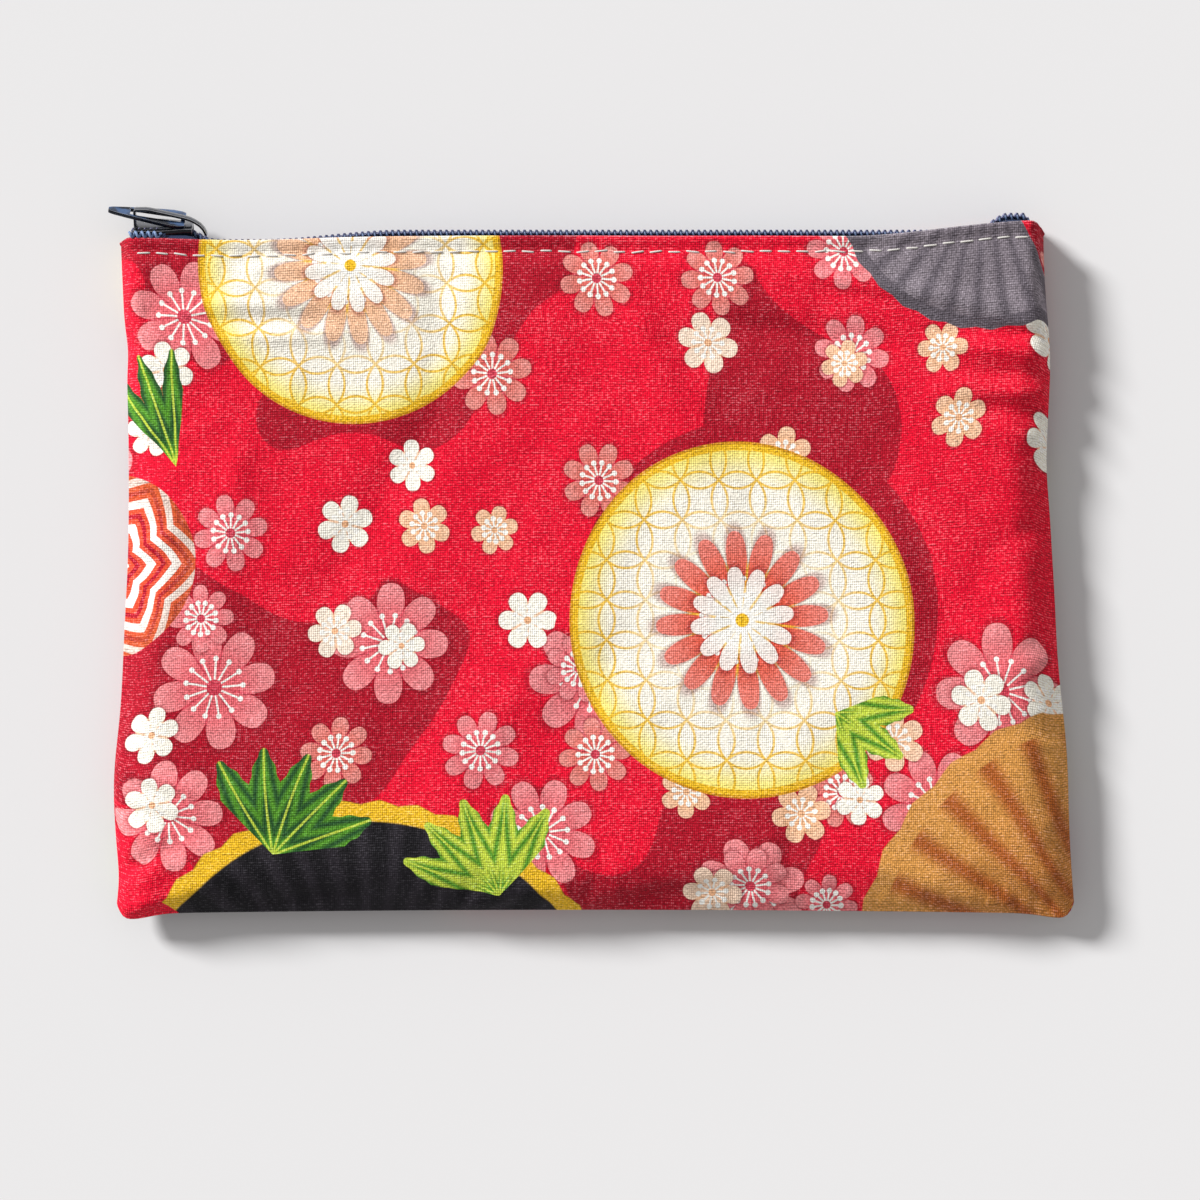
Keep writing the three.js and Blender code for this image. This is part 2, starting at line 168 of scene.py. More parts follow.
def makeStudio():
    distance = studio["frameWidth"] * studio["lens"] / studio["sensor"]
    camera = addObject("camera", bpy.data.cameras.new("camera"))
    camera.data.lens = studio["lens"]
    camera.data.sensor_width = studio["sensor"]
    camera.data.clip_start = 0.01
    x, y, z = studio["centre"]
    camera.location = (x * mm, y * mm, (z + distance) * mm)
    scene.camera = camera

    bm = bmesh.new()
    bmesh.ops.create_grid(bm, x_segments=1, y_segments=1, size=studio["floorSize"] / 2)
    bmesh.ops.translate(bm, verts=bm.verts, vec=(0, 0, -studio["floorDrop"] * mm))
    floor = newObject("floor", bm)
    paper = bpy.data.materials.new("paleFloor")
    paper.use_nodes = True
    shader = paper.node_tree.nodes["Principled BSDF"]
    shader.inputs["Base Color"].default_value = (*studio["floorColour"], 1)
    shader.inputs["Roughness"].default_value = 0.95
    shader.inputs["Specular IOR Level"].default_value = 0.0
    floor.data.materials.append(paper)

    height, turn = math.radians(studio["sunHeight"]), math.radians(studio["sunTurn"])
    sun = addObject("sun", bpy.data.lights.new("sun", "SUN"))
    sun.data.energy = math.pi * studio["sunShare"] / math.sin(height)
    sun.data.angle = math.radians(studio["sunWidth"])
    flat = math.cos(height)
    towards = Vector((math.cos(turn) * flat, math.sin(turn) * flat, math.sin(height)))
    sun.rotation_mode = "QUATERNION"
    sun.rotation_quaternion = towards.to_track_quat("Z", "Y")

    world = bpy.data.worlds.new("sky")
    world.use_nodes = True
    background = world.node_tree.nodes["Background"]
    background.inputs["Color"].default_value = (*studio["skyTint"], 1)
    background.inputs["Strength"].default_value = 1 - studio["sunShare"]
    scene.world = world
    scene.view_settings.view_transform = "Standard"


makeStudio()
print("studio made")

# the pouch's outline, in mm, Y 0 half way up; waves are centre, width and amount
low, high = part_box("front_outer_panel")
outline = {
    "bottomWidth": (high.x - low.x) / mm,
    "topWidth": 172.4,
    "topShift": -2.4,
    "bottomY": low.y / mm,
    "height": 126.3,
    "sideBow": 1.2,
    "bottomBow": 0.8,
    "earRise": 3.0,
    "earLength": 38.0,
    "seamZ": low.z / mm - 0.15,
    "leftWaves": ((25, 25, 0.85), (42, 4, 0.45), (3, 14, 0.35), (-38, 11, -1.05), (-57, 6, 0.6)),
    "rightWaves": ((41, 11, 0.9), (20, 7, -0.35), (-33, 13, 0.75), (-4, 9, 0.15)),
    "bottomWaves": ((-86.5, 4.5, -1.05), (87, 4.5, -0.8)),
    "topWaves": ((-66, 17, -0.7), (-10, 22, 0.15), (30, 16, 0.1)),
    "bottomCorner": 2.4,
    "leftTopCorner": 1.0,
    "rightTopCorner": 2.0,
}
outline["topY"] = outline["bottomY"] + outline["height"]


def waves(value, edge):
    return sum(amount * hill(value, centre, width) for centre, width, amount in outline[edge])


def sideX(sign, y):
    t = (y - outline["bottomY"]) / outline["height"]
    bottom = sign * outline["bottomWidth"] / 2
    top = outline["topShift"] + sign * outline["topWidth"] / 2
    straight = mix(bottom, top, t) - sign * outline["sideBow"] * 4 * t * (1 - t)
    return straight + waves(y, "leftWaves" if sign < 0 else "rightWaves")


def across(s, y, inset=0):  # s is -1 at the left side and 1 at the right
    return mix(sideX(-1, y) + inset, sideX(1, y) - inset, (s + 1) / 2)


def roundedCorner(distance, radius):  # how far an edge draws back near its corner
    d = clamp(distance, 0, radius)
    return radius - math.sqrt(radius**2 - (radius - d) ** 2)


def sideDistance(x, y):
    return max(min(x - sideX(-1, y), sideX(1, y) - x), 0.0)


def bottomEdge(x):
    t = x / (outline["bottomWidth"] / 2)
    edge = outline["bottomY"] + outline["bottomBow"] * (1 - t * t)
    return edge + waves(x, "bottomWaves")


def topEdge(x):
    right = outline["topShift"] + outline["topWidth"] / 2
    ear = outline["earRise"] * ease(x, right - outline["earLength"], right)
    return outline["topY"] + ear + waves(x, "topWaves")


def clothCorner(x, y, top):
    left, right = x - sideX(-1, y), sideX(1, y) - x
    if top:
        cut = roundedCorner(left, outline["leftTopCorner"])
        return -cut - roundedCorner(right, outline["rightTopCorner"])
    return roundedCorner(min(left, right), outline["bottomCorner"])


# the outer cloth
cloth = {
    "columns": 124,
    "rowLength": 1.5,
    "thickness": 0.3,
    "seamGap": 0.15,
    "crown": 5.35,  # mm from the seam plane to the cloth's face
    "sideRoll": 8.0,
    "topSideRoll": 2.6,
    "bottomRoll": 9.5,
    "crestRows": (4.4, 3.7, 3.0, 2.4, 1.8, 1.2),  # mm below the fold
    "stitchDown": 3.0,  # mm from the fold to the topstitching
    "stitchGroove": 0.62,
    "grooveWidth": 1.7,
    "foldRadius": 0.5,
    "foldSteps": 5,
    "foldThinning": 0.12,
    "hem": (1.0, 2.6, 4.2),  # mm turned down inside
    "hemInset": 1.2,  # and drawn in at each side seam
    "wobble": 0.12,  # mm, what the buckles start from
    "simScale": 10.0,
    "frames": 16,
    "cap": 1.3,
    "creaseShare": 1.15,
    "looseEdge": 14.0,
    "looseTop": 16.0,
    "pinnedTop": 2.6,
    "lowest": 0.02,  # mm over the table
    "printShift": 106.0,  # mm along the roll, from the front to the back
}
settling = {
    "quality": 6,
    "mass": 0.2,
    "tension_stiffness": 20,
    "compression_stiffness": 20,
    "shear_stiffness": 8,
    "bending_stiffness": 0.14,
    "vertex_group_mass": "pins",
    "vertex_group_shrink": "slack",
    "shrink_min": -0.010,  # looser than the seams round it
    "shrink_max": -0.030,  # and more so near them
    "use_pressure": True,
    "uniform_pressure_force": 0.22,
}
# soft ridges and hollows: from x, y to x, y, half width, height
frontCreases = (
    (-70, 50.6, -50, 50.0, 1.5, 0.4), (-74, 47.4, -46, 47.2, 1.5, -0.35),
    (-66, 44.2, -44, 45.0, 1.8, 0.4), (-60, 55.4, -38, 54.0, 1.8, -0.35),
    (-34, 57.0, -27, 51.0, 2.0, -0.4), (-30, 56.0, -20, 48.0, 2.0, 0.35),
    (-88, 42, -72, 36, 2.0, 0.35), (-89, 26, -76, 22, 1.8, -0.35),
    (-89, 4, -74, 8, 2.2, 0.3), (30, 46.0, 66, 41.0, 4.0, -0.5),
    (44, 55.0, 86, 48.5, 2.2, 0.5), (90, 44.5, 62, 46.0, 1.4, -0.55),
    (90, 41.0, 60, 43.0, 1.6, 0.5), (90, 37.4, 66, 38.0, 1.3, -0.5),
    (90, 33.8, 62, 34.5, 1.7, 0.5), (90, 29.0, 70, 31.5, 1.4, -0.45),
    (90, 24.5, 72, 27.0, 1.8, 0.35), (90, 10.0, 76, 7.0, 2.0, -0.3),
    (90, -14.0, 74, -18.0, 2.2, 0.35), (90, -30.0, 76, -27.0, 2.0, -0.35),
    (-88, -36, -64, -43, 2.2, 0.4), (-90, -43, -70, -48, 1.8, -0.35),
    (-90, -56, -70, -46, 2.4, -0.5), (-86, -62, -60, -54, 2.4, 0.45),
    (-60, -61, -30, -57, 2.6, -0.35), (-24, -61, 4, -56, 2.6, 0.35),
    (86, -62, 64, -51, 2.4, -0.5), (76, -62, 52, -54, 2.4, 0.4),
    (8, -60, 44, -57, 3.0, -0.3), (8, 50, 20, 12, 5.0, 0.22),
    (-30, 30, -52, -8, 6.0, -0.22), (34, 18, 60, -18, 6.0, 0.22),
    (-10, -18, -34, -48, 6.0, 0.2), (60, 4, 78, -36, 5.0, -0.22),
    (-66, 20, -72, -20, 5.0, 0.22),
)
backCreases = (
    (-70, 40, -30, 46, 4.0, 0.3), (86, 30, 66, 34, 1.6, -0.4),
    (86, -20, 70, -16, 1.6, -0.35), (-87, 20, -70, 16, 1.6, -0.4),
    (-87, -30, -72, -34, 1.8, -0.35), (-60, -58, 0, -56, 3.5, 0.25),
    (20, -58, 70, -55, 3.5, -0.25), (84, -61, 68, -50, 3.0, -0.4),
    (-84, -61, -66, -50, 3.0, 0.35), (-20, 56, 40, 50, 3.5, -0.3),
)


def roll(distance, width):  # rises steeply at the seam, then runs level
    t = clamp(distance / width)
    return 0.55 * math.sqrt(2 * t - t * t) + 0.45 * math.sin(math.pi / 2 * t)


def crease(x, y, creases):
    total = 0.12 * noise.noise((x / 15, y / 15, 2.0)) + 0.05 * noise.noise((x / 5, y / 4, 6.0))
    for x0, y0, x1, y1, width, height in creases:
        dx, dy = x1 - x0, y1 - y0
        length = math.hypot(dx, dy)
        along = ((x - x0) * dx + (y - y0) * dy) / length**2
        off = ((x - x0) * dy - (y - y0) * dx) / length
        spread = width * (0.5 + 0.7 * clamp(along))
        if abs(off) > 3 * spread or along < -0.3 or along > 1.3:
            continue
        taper = ease(along, -0.3, 0.1) * (1 - ease(along, 0.45, 1.25))
        total += cloth["creaseShare"] * height * taper * hill(off, 0, spread)
    return total


def faceHeight(x, y, top, creases):
    fromTop = top - y
    sideWidth = mix(cloth["topSideRoll"], cloth["sideRoll"], ease(fromTop, 8, 40))
    groove = hill(fromTop, cloth["stitchDown"], cloth["grooveWidth"])
    full = cloth["crown"] - cloth["stitchGroove"] * groove
    full -= cloth["foldThinning"] * (1 - ease(fromTop, 0, 4))
    shape = roll(sideDistance(x, y), sideWidth)
    shape *= roll(y - bottomEdge(x) - clothCorner(x, y, False), cloth["bottomRoll"])
    fold = crease(x, y, creases) * ease(fromTop, 2.5, 6) * ease(shape, 0.0, 0.5)
    return cloth["seamGap"] + (full - cloth["seamGap"]) * shape + fold


def clothPoint(s, row, last, creases):
    radius = cloth["foldRadius"]
    x = s * outline["bottomWidth"] / 2
    for _ in range(2):
        bottom, top = bottomEdge(x), topEdge(x)
        x = across(s, mix(bottom, top, min(row, last) / outline["height"]))
    bottom += clothCorner(x, bottom, False)
    top += clothCorner(x, top, True)
    y = mix(bottom, top - radius, min(row / last, 1))
    x = across(s, y)
    z = faceHeight(x, y, top, creases)
    if row <= last:
        return x, y, z
    drop = min(radius, z / 2)
    arc = math.pi * radius
    if row <= last + arc:
        angle = (row - last) / radius
        return x, top - radius + radius * math.sin(angle), z - drop + drop * math.cos(angle)
    inwards = (ease(s, 0.9, 1) - ease(-s, 0.9, 1)) * ease(row, last + arc, last + arc + 1)
    x -= cloth["hemInset"] * inwards
    return x, top - radius - (row - last - arc), z - 2 * drop


def outerCloth(name, creases):  # its rows are mm of cloth, up the wall, round the fold and down
    level = outline["height"] - cloth["crestRows"][0]
    count = round(level / cloth["rowLength"])
    rows = [level * i / count for i in range(count + 1)]
    rows += [outline["height"] - down for down in cloth["crestRows"][1:]]
    last = rows[-1]
    arc, steps = math.pi * cloth["foldRadius"], cloth["foldSteps"]
    rows += [last + arc * (i + 1) / steps for i in range(steps)]
    rows += [last + arc + down for down in cloth["hem"]]

    def place(s, row):
        spot = s * outline["bottomWidth"] / 2, row + outline["bottomY"]
        return *clothPoint(s, row, last, creases), *spot

    return newObject(name, placedGrid(cloth["columns"], rows, place)), last


def coordinates(mesh):
    values = np.empty(len(mesh.vertices) * 3, np.float32)
    mesh.vertices.foreach_get("co", values)
    return values.reshape(-1, 3).astype(float)


def moveTo(mesh, places):
    mesh.vertices.foreach_set("co", places.astype(np.float32).ravel())


def rowsOf(mesh):
    rows = np.empty(len(mesh.vertices), np.float32)
    mesh.attributes["row"].data.foreach_get("value", rows)
    return rows


def settleCloth(piece, last):  # the loose cloth buckles between its seams
    start = coordinates(piece.data)
    begin = start.copy()
    pins = piece.vertex_groups.new(name="pins")
    slack = piece.vertex_groups.new(name="slack")
    for index, row in enumerate(rowsOf(piece.data)):
        x, y, z = start[index] / mm
        edge = min(sideDistance(x, y), y - bottomEdge(x))
        fixed = row > last - cloth["pinnedTop"] or z < cloth["seamGap"] + 0.02
        loose = max(1 - edge / cloth["looseEdge"], 1 - (topEdge(x) - y) / cloth["looseTop"])
        pins.add([index], 1.0 if fixed else 0.0, "REPLACE")
        slack.add([index], clamp(loose), "REPLACE")
        if not fixed:
            begin[index, 2] += noise.noise(Vector(start[index]) * 90) * cloth["wobble"] * mm
    moveTo(piece.data, begin * cloth["simScale"])
    modifier = piece.modifiers.new("settle", "CLOTH")
    for key, value in settling.items():
        setattr(modifier.settings, key, value)
    modifier.settings.effector_weights.gravity = 0
    modifier.collision_settings.use_collision = False
    modifier.point_cache.frame_end = cloth["frames"]
    for step in range(1, cloth["frames"] + 1):
        scene.frame_set(step)
    graph = bpy.context.evaluated_depsgraph_get()
    settled = coordinates(piece.evaluated_get(graph).data) / cloth["simScale"]
    piece.modifiers.remove(modifier)
    piece.vertex_groups.clear()
    scene.frame_set(1)
    move = (settled - start) / mm
    far = np.linalg.norm(move, axis=1, keepdims=True)
    move *= cloth["cap"] / (cloth["cap"] + far)
    print(f"{piece.name} settled by up to {far.max():.2f} mm, on average {far.mean():.2f} mm")
    moveTo(piece.data, start + move * mm)


def placeCloth(piece, wall, lowest=0.0):  # from the seam plane up, or mirrored down for the back
    if wall == "back":
        bm = meshOf(piece)
        bmesh.ops.scale(bm, verts=bm.verts, vec=(1, 1, -1))
        bmesh.ops.reverse_faces(bm, faces=bm.faces)
        store(bm, piece.data)
    piece.data.transform(Matrix.Translation((0, 0, outline["seamZ"] * mm)))
    for vert in piece.data.vertices:
        vert.co.z = max(vert.co.z, lowest * mm)


# what the stitching and the folding leave in the settled cloth
detail = {
    "stitchPitch": 3.4,
    "stitchLength": 2.5,
    "stitchStart": -85.5,
    "stitchEnd": 79.0,
    "dent": 0.2,
    "dentWidth": 0.7,
    "pucker": 0.1,  # between the stitches, fading down the cloth
    "puckerLength": 7.0,
    "gather": 0.14,  # along the seams
    "gatherPitch": 3.3,
    "gatherWidth": 9.0,
    "creases": 0.9,
    "rumples": ((0.32, 13.0, 4.0), (0.1, 4.5, 8.0)),  # height, size and seed
}


def detailHeight(x, y, fromTop, creases):
    side, low = sideDistance(x, y), y - bottomEdge(x)
    edge = min(side, low)
    height = detail["creases"] * crease(x, y, creases) * ease(fromTop, 3.5, 7) * ease(edge, 0, 1.5)
    away = ease(fromTop, 3.5, 12) * ease(edge, 0.5, 5)
    for amount, size, seed in detail["rumples"]:
        height += amount * noise.noise((x / size, y / size, seed)) * away
    phase = abs(math.sin(math.pi * (x - detail["stitchStart"]) / detail["stitchPitch"]))
    under = fromTop - cloth["stitchDown"]
    height -= detail["dent"] * hill(under, 0, detail["dentWidth"]) * (1.3 - phase)
    if under > 0:
        height += detail["pucker"] * (phase - 0.6) * (1 - ease(under, 0.5, detail["puckerLength"]))
    if edge > 0.2 and fromTop > 6:
        along = y if side < low else x
        turn = 2 * math.pi * along / detail["gatherPitch"] + 4 * noise.noise((x / 8, y / 8, 0))
        share = ease(edge, 0.2, 1.6) * (1 - ease(edge, 2, detail["gatherWidth"]))
        share *= 0.6 + noise.noise((along / 12, side / 40, 5.0))
        height += detail["gather"] * share * math.sin(turn)
    return height


def addDetail(piece, last, creases):
    applied(piece, "SUBSURF", levels=1, render_levels=1)
    mesh = piece.data
    outwards = [vert.normal.copy() for vert in mesh.vertices]
    for vert, row, normal in zip(mesh.vertices, rowsOf(mesh), outwards):
        x, y, z = vert.co / mm
        if row <= last + 0.1 and z > 0.2:
            fromTop = last - row + cloth["crestRows"][-1]
            height = detailHeight(x, y, fromTop, creases) * ease(z, 0.2, 1.5)
            vert.co += normal * height * mm


# the layers inside
inner = {
    "fleeceInset": 6.5,
    "fleeceTop": 12.5,
    "fleeceDepth": 0.85,
    "fleeceThickness": 0.55,
    "fleeceLowest": {"front": 0.0, "back": 0.4},
    "inset": 4.0,  # the lining's, and so on down
    "roll": 8.0,
    "face": 3.21,
    "topY": 60.75,
    "thickness": 0.2,
    "hem": 6.0,
    "hemShares": (1.06, 1.12, 1.19, 1.25, 1.37, 1.5),
    "foldRadius": 0.2,
    "columns": 90,
    "row": 2.0,
    "drapes": ((0.22, 16, 22, 3.0), (0.12, 6, 9, 7.0)),  # height, two sizes and seed
    "flatSize": (170, 124),
}


def fleeceFrom(piece, wall, side, creases):  # the padding follows the cloth it is fused to
    bm = meshOf(piece)
    flat = bm.loops.layers.uv["flat"]
    wrong = []
    for face in bm.faces:
        x, y, z = face.calc_center_median() / mm
        row = sum(loop[flat].uv.y for loop in face.loops) / len(face.loops) * 100
        edge = min(sideDistance(x, y), y - bottomEdge(x))
        top = outline["topY"] - inner["fleeceTop"]
        if edge <= inner["fleeceInset"] or z <= 0 or row >= top:
            wrong.append(face)
    bmesh.ops.delete(bm, geom=wrong, context="FACES")
    keepHalf(bm, side)
    bm.normal_update()
    for vert in bm.verts:
        x, y, _ = vert.co / mm
        vert.co -= vert.normal * inner["fleeceDepth"] * mm
        vert.co.z += detailHeight(x, y, topEdge(x) - y, creases) * mm
    made = newObject(wall + "_fleece" + suffixes[side], bm)
    placeCloth(made, wall, inner["fleeceLowest"][wall])
    thicken(made, inner["fleeceThickness"])
    return made


def liningPoint(s, share):
    inset, topY = inner["inset"], inner["topY"]
    x = s * (outline["bottomWidth"] / 2 - inset)
    for _ in range(2):
        bottom = bottomEdge(x) + inset
        y = mix(bottom, topY, min(share, 1))
        x = across(s, y, inset)
    shape = roll(sideDistance(x, y) - inset, inner["roll"]) * roll(y - bottom, inner["roll"])
    drape = sum(high * noise.noise((x / a, y / b, seed)) for high, a, b, seed in inner["drapes"])
    z = cloth["seamGap"] + (inner["face"] - cloth["seamGap"]) * shape
    z += min(drape, 0.12) * shape * (1 - ease(y, topY - 12, topY - 3))
    if share > 1:  # turned out and down at its top edge
        turn = math.pi * min((share - 1) * 4, 1)
        z += inner["foldRadius"] * (1 - math.cos(turn))
        y = topY + inner["foldRadius"] * math.sin(turn)
        y -= max(share - 1.25, 0) / 0.25 * inner["hem"]
    wide, tall = inner["flatSize"]
    return x, y, z, s * wide / 2, (share - 0.5) * tall


def liningCloth(wall, side):
    rows = int((outline["height"] - inner["inset"]) / inner["row"])
    shares = [i / rows for i in range(rows + 1)] + list(inner["hemShares"])
    bm = placedGrid(inner["columns"], shares, liningPoint)
    keepHalf(bm, side)
    made = newObject(wall + "_lining_cloth" + suffixes[side], bm)
    placeCloth(made, wall)
    thicken(made, inner["thickness"])
    return made


# the zip; heights over the chain's underside, and out from its middle
zipper = {
    "pitch": 1.12,
    "bottomY": 63.3,
    "height": 1.4,
    "halfWidth": 1.8,
    "tipReach": 0.5,
    "wire": 0.21,
    "turnSteps": 14,
    "start": -86.3,
    "end": 82.8,
    "parted": 1.15,
    "partedTo": -82.0,
    "meshedFrom": -76.5,
    "tapeEnds": (1.3, 1.2),
    "tapeThickness": 0.32,
    "tapeEdge": 0.45,
    "tapeUnder": -0.08,
    "tapeTurn": 0.9,
    "tapeFace": 3.82,
    "tapeDown": 56.0,
    "tapeRows": 6,
    "tapeRowLength": 0.62,
    "tapeColumns": 150,
    "cordAt": 1.0,
    "cordHeight": 0.7,
    "cordRadius": 0.28,
    "thread": 0.1,
    "threadsAt": (0.9, 1.45),
    "threadSway": 0.16,
    # from x, to x and rise: the chain dips past the slider and humps at its far end
    "lifts": (
        (-76, -67, -0.25), (-76, -71, -1.75), (-62, -36, 1.75),
        (62, 71, 0.45), (71.3, 77.0, 2.7), (80.2, 83.4, -7.5),
    ),
}


def chainLift(x):
    return sum(rise * ease(x, start, end) for start, end, rise in zipper["lifts"])


def partedAt(x):
    return zipper["parted"] * (1 - ease(x, zipper["partedTo"], zipper["meshedFrom"]))


def chainPoint(wall, x, height, out):
    y = zipper["bottomY"] + height + chainLift(x)
    return x, y, outline["seamZ"] + facing[wall] * (out + partedAt(x))


def wireObject(name, routes, radius):  # routes are lists of points in mm
    curve = bpy.data.curves.new(name, "CURVE")
    curve.dimensions = "3D"
    curve.bevel_depth = radius * mm
    curve.bevel_resolution = 1
    curve.use_fill_caps = True
    for route in routes:
        spline = curve.splines.new("POLY")
        spline.points.add(len(route) - 1)
        flat = [c for x, y, z in route for c in (x * mm, y * mm, z * mm, 1)]
        spline.points.foreach_set("co", flat)
    made = addObject(name, curve)
    graph = bpy.context.evaluated_depsgraph_get()
    mesh = bpy.data.meshes.new_from_object(made.evaluated_get(graph), depsgraph=graph)
    bpy.data.objects.remove(made)
    mesh.name = name
    piece = addObject(name, mesh)
    smoothShade(piece)
    return piece


def power(value, exponent):
    return math.copysign(abs(value) ** exponent, value)


def coilRoute(wall, start, end):
    pitch, steps, wire = zipper["pitch"], zipper["turnSteps"], zipper["wire"]
    begin = start + (pitch / 2 if wall == "back" else 0)
    reach = (zipper["halfWidth"] + zipper["tipReach"]) / 2 - wire
    centre = (zipper["halfWidth"] - zipper["tipReach"]) / 2
    rise = zipper["height"] / 2 - wire
    route = []
    for step in range(int((end - start) / pitch) * steps + 1):
        angle = 2 * math.pi * step / steps
        out = centre - reach * power(math.cos(angle), 0.75)
        height = zipper["height"] / 2 + rise * power(math.sin(angle), 0.8)
        route.append(chainPoint(wall, begin + pitch * step / steps, height, out))
    return route


def cordRoute(wall, start, end):
    count = int(end - start)
    places = [mix(start, end, i / count) for i in range(count + 1)]
    return [chainPoint(wall, x, zipper["cordHeight"], zipper["cordAt"]) for x in places]


def coilThreadRoute(wall, start, end, out):  # over each turn of the coil and down between
    pitch = zipper["pitch"]
    route = []
    for i in range(int((end - start) / pitch) * 4 + 1):
        height = zipper["height"] + (0.05 if i % 4 in (1, 2) else -0.5)
        sway = zipper["threadSway"] * (1 if i % 4 < 2 else -1)
        route.append(chainPoint(wall, start + i * pitch / 4, height, out + sway))
    return route


def tapeSection():  # out from the middle and above the coil's underside
    under, turn = zipper["tapeUnder"], zipper["tapeTurn"]
    flatEnd = zipper["tapeFace"] - turn
    points = [(mix(zipper["tapeEdge"], flatEnd, i / 5), under) for i in range(6)]
    for i in range(1, 6):
        angle = math.pi / 2 * i / 5
        points.append((flatEnd + turn * math.sin(angle), under - turn * (1 - math.cos(angle))))
    return points


def zipTape(wall, side):
    section = tapeSection()
    start, end = zipper["start"] + zipper["tapeEnds"][0], zipper["end"] - zipper["tapeEnds"][1]

    def place(s, row):
        x = mix(start, end, (s + 1) / 2)
        base = zipper["bottomY"] + chainLift(x)
        if row < len(section):
            z, y = section[row]
            y += base
        else:
            share = (row - len(section) + 1) / zipper["tapeRows"]
            y = mix(base + section[-1][1], zipper["tapeDown"], share)
            z = zipper["tapeFace"] + 0.03 * math.sin(x * 0.9 + share)
            row = len(section) + share * 9
        z += partedAt(x) * (1 - ease(z, 1.8, 2.8))
        flatY = row * zipper["tapeRowLength"]
        return x, y, outline["seamZ"] + facing[wall] * z, x, flatY

    bm = placedGrid(zipper["tapeColumns"], range(len(section) + zipper["tapeRows"]), place)
    keepHalf(bm, side)
    if wall == "back":
        bmesh.ops.reverse_faces(bm, faces=bm.faces)
    made = newObject(wall + "_tape" + suffixes[side], bm)
    thicken(made, zipper["tapeThickness"], 0)
    return made


# the visible stitches and the seams
sewing = {
    "seeds": {"front": 7, "back": 11},
    "tilt": (-0.13, 0.16),
    "length": (0.9, 1.08),
    "shift": (-0.12, 0.12),
    "lift": 0.1,  # mm over the cloth
    "bite": 0.45,  # and down at the needle holes
    "thread": 0.17,
    "seamThread": 0.1,
    "seamSteps": 90,
    "seamSway": 0.03,
    "seamCorner": 2,
}


def stitchRoutes(surface, wall):
    rng = np.random.default_rng(sewing["seeds"][wall])
    routes = []
    x = detail["stitchStart"]
    while x < detail["stitchEnd"]:
        tilt = rng.uniform(*sewing["tilt"])
        length = detail["stitchLength"] * rng.uniform(*sewing["length"])
        shift = rng.uniform(*sewing["shift"])
        route = []
        for i in range(9):
            t = i / 4 - 1
            px = x + detail["stitchPitch"] / 2 + t * length / 2
            topY = topEdge(px) + clothCorner(px, topEdge(px) - 3, True)
            py = topY - cloth["stitchDown"] + shift + t * tilt * length / 2
            hit = surface.ray_cast(Vector((px, py, 20)) * mm, Vector((0, 0, -1)))[0]
            z = hit.z / mm + sewing["lift"] - sewing["bite"] * t**6
            route.append((px, py, outline["seamZ"] + facing[wall] * z))
        routes.append(route)
        x += detail["stitchPitch"]
    return routes


def seamRoute(inset, topDrop):  # down the left side, along the bottom, up the right
    corner = sewing["seamCorner"]
    top, low = outline["topY"] - topDrop, outline["bottomY"] + inset + corner
    shares = [i / sewing["seamSteps"] for i in range(sewing["seamSteps"] + 1)]
    route = [(sideX(-1, y) + inset, y) for y in (mix(top, low, t) for t in shares)]
    left, right = route[-1][0] + corner, sideX(1, low) - inset - corner
    route += [(x, bottomEdge(x) + inset) for x in (mix(left, right, t) for t in shares)]
    route += [(sideX(1, y) - inset, y) for y in (mix(low, top, t) for t in shares)]
    z, sway = outline["seamZ"], sewing["seamSway"]
    return [(x, y, z + sway * math.sin(i * math.pi / 2)) for i, (x, y) in enumerate(route)]


# the slider, its crown and its pull
slider = {
    "bevel": 0.2,
    "lean": 24.0,  # degrees, the slider leans towards the front about the chain
    "leanY": 63.9,
    "tail": -75.0,  # where its body ends, and the bridge hooks on over the chain
    "bridge": (  # along its top, from its foot at the mouth
        (-86.0, 65.7), (-86.0, 67.2), (-86.0, 68.5), (-85.85, 68.85), (-85.5, 68.98),
        (-83.6, 68.98), (-82.9, 68.9), (-79.6, 68.13), (-76.4, 67.35), (-75.4, 67.03),
        (-74.4, 66.5), (-73.5, 65.85), (-72.85, 65.1), (-72.45, 64.3), (-72.3, 63.7),
    ),
    "bridgeWidth": 1.6,
    "bridgeThickness": 0.5,
    "bridgeBevel": 0.14,
    "pivot": (-76.8, 66.5),
    "pitch": 9.0,
    "roll": 12.0,
    "pullColumns": (-0.4, 0.4, 2.0, 4.0, 6.0, 8.0, 9.9, 11.4, 12.8, 13.6, 14.0),
    "pullHalfWidths": (2.3, 2.65, 2.75, 2.5, 2.15, 1.8, 1.5, 1.2, 0.9, 0.65, 0.4),
    "slotHalfWidth": 1.15,
    "slotShare": 0.63,
    "slotEnds": (0.4, 9.9),
    "pullThickness": 0.72,
    "dish": 0.16,
    "dishRim": 0.42,
}


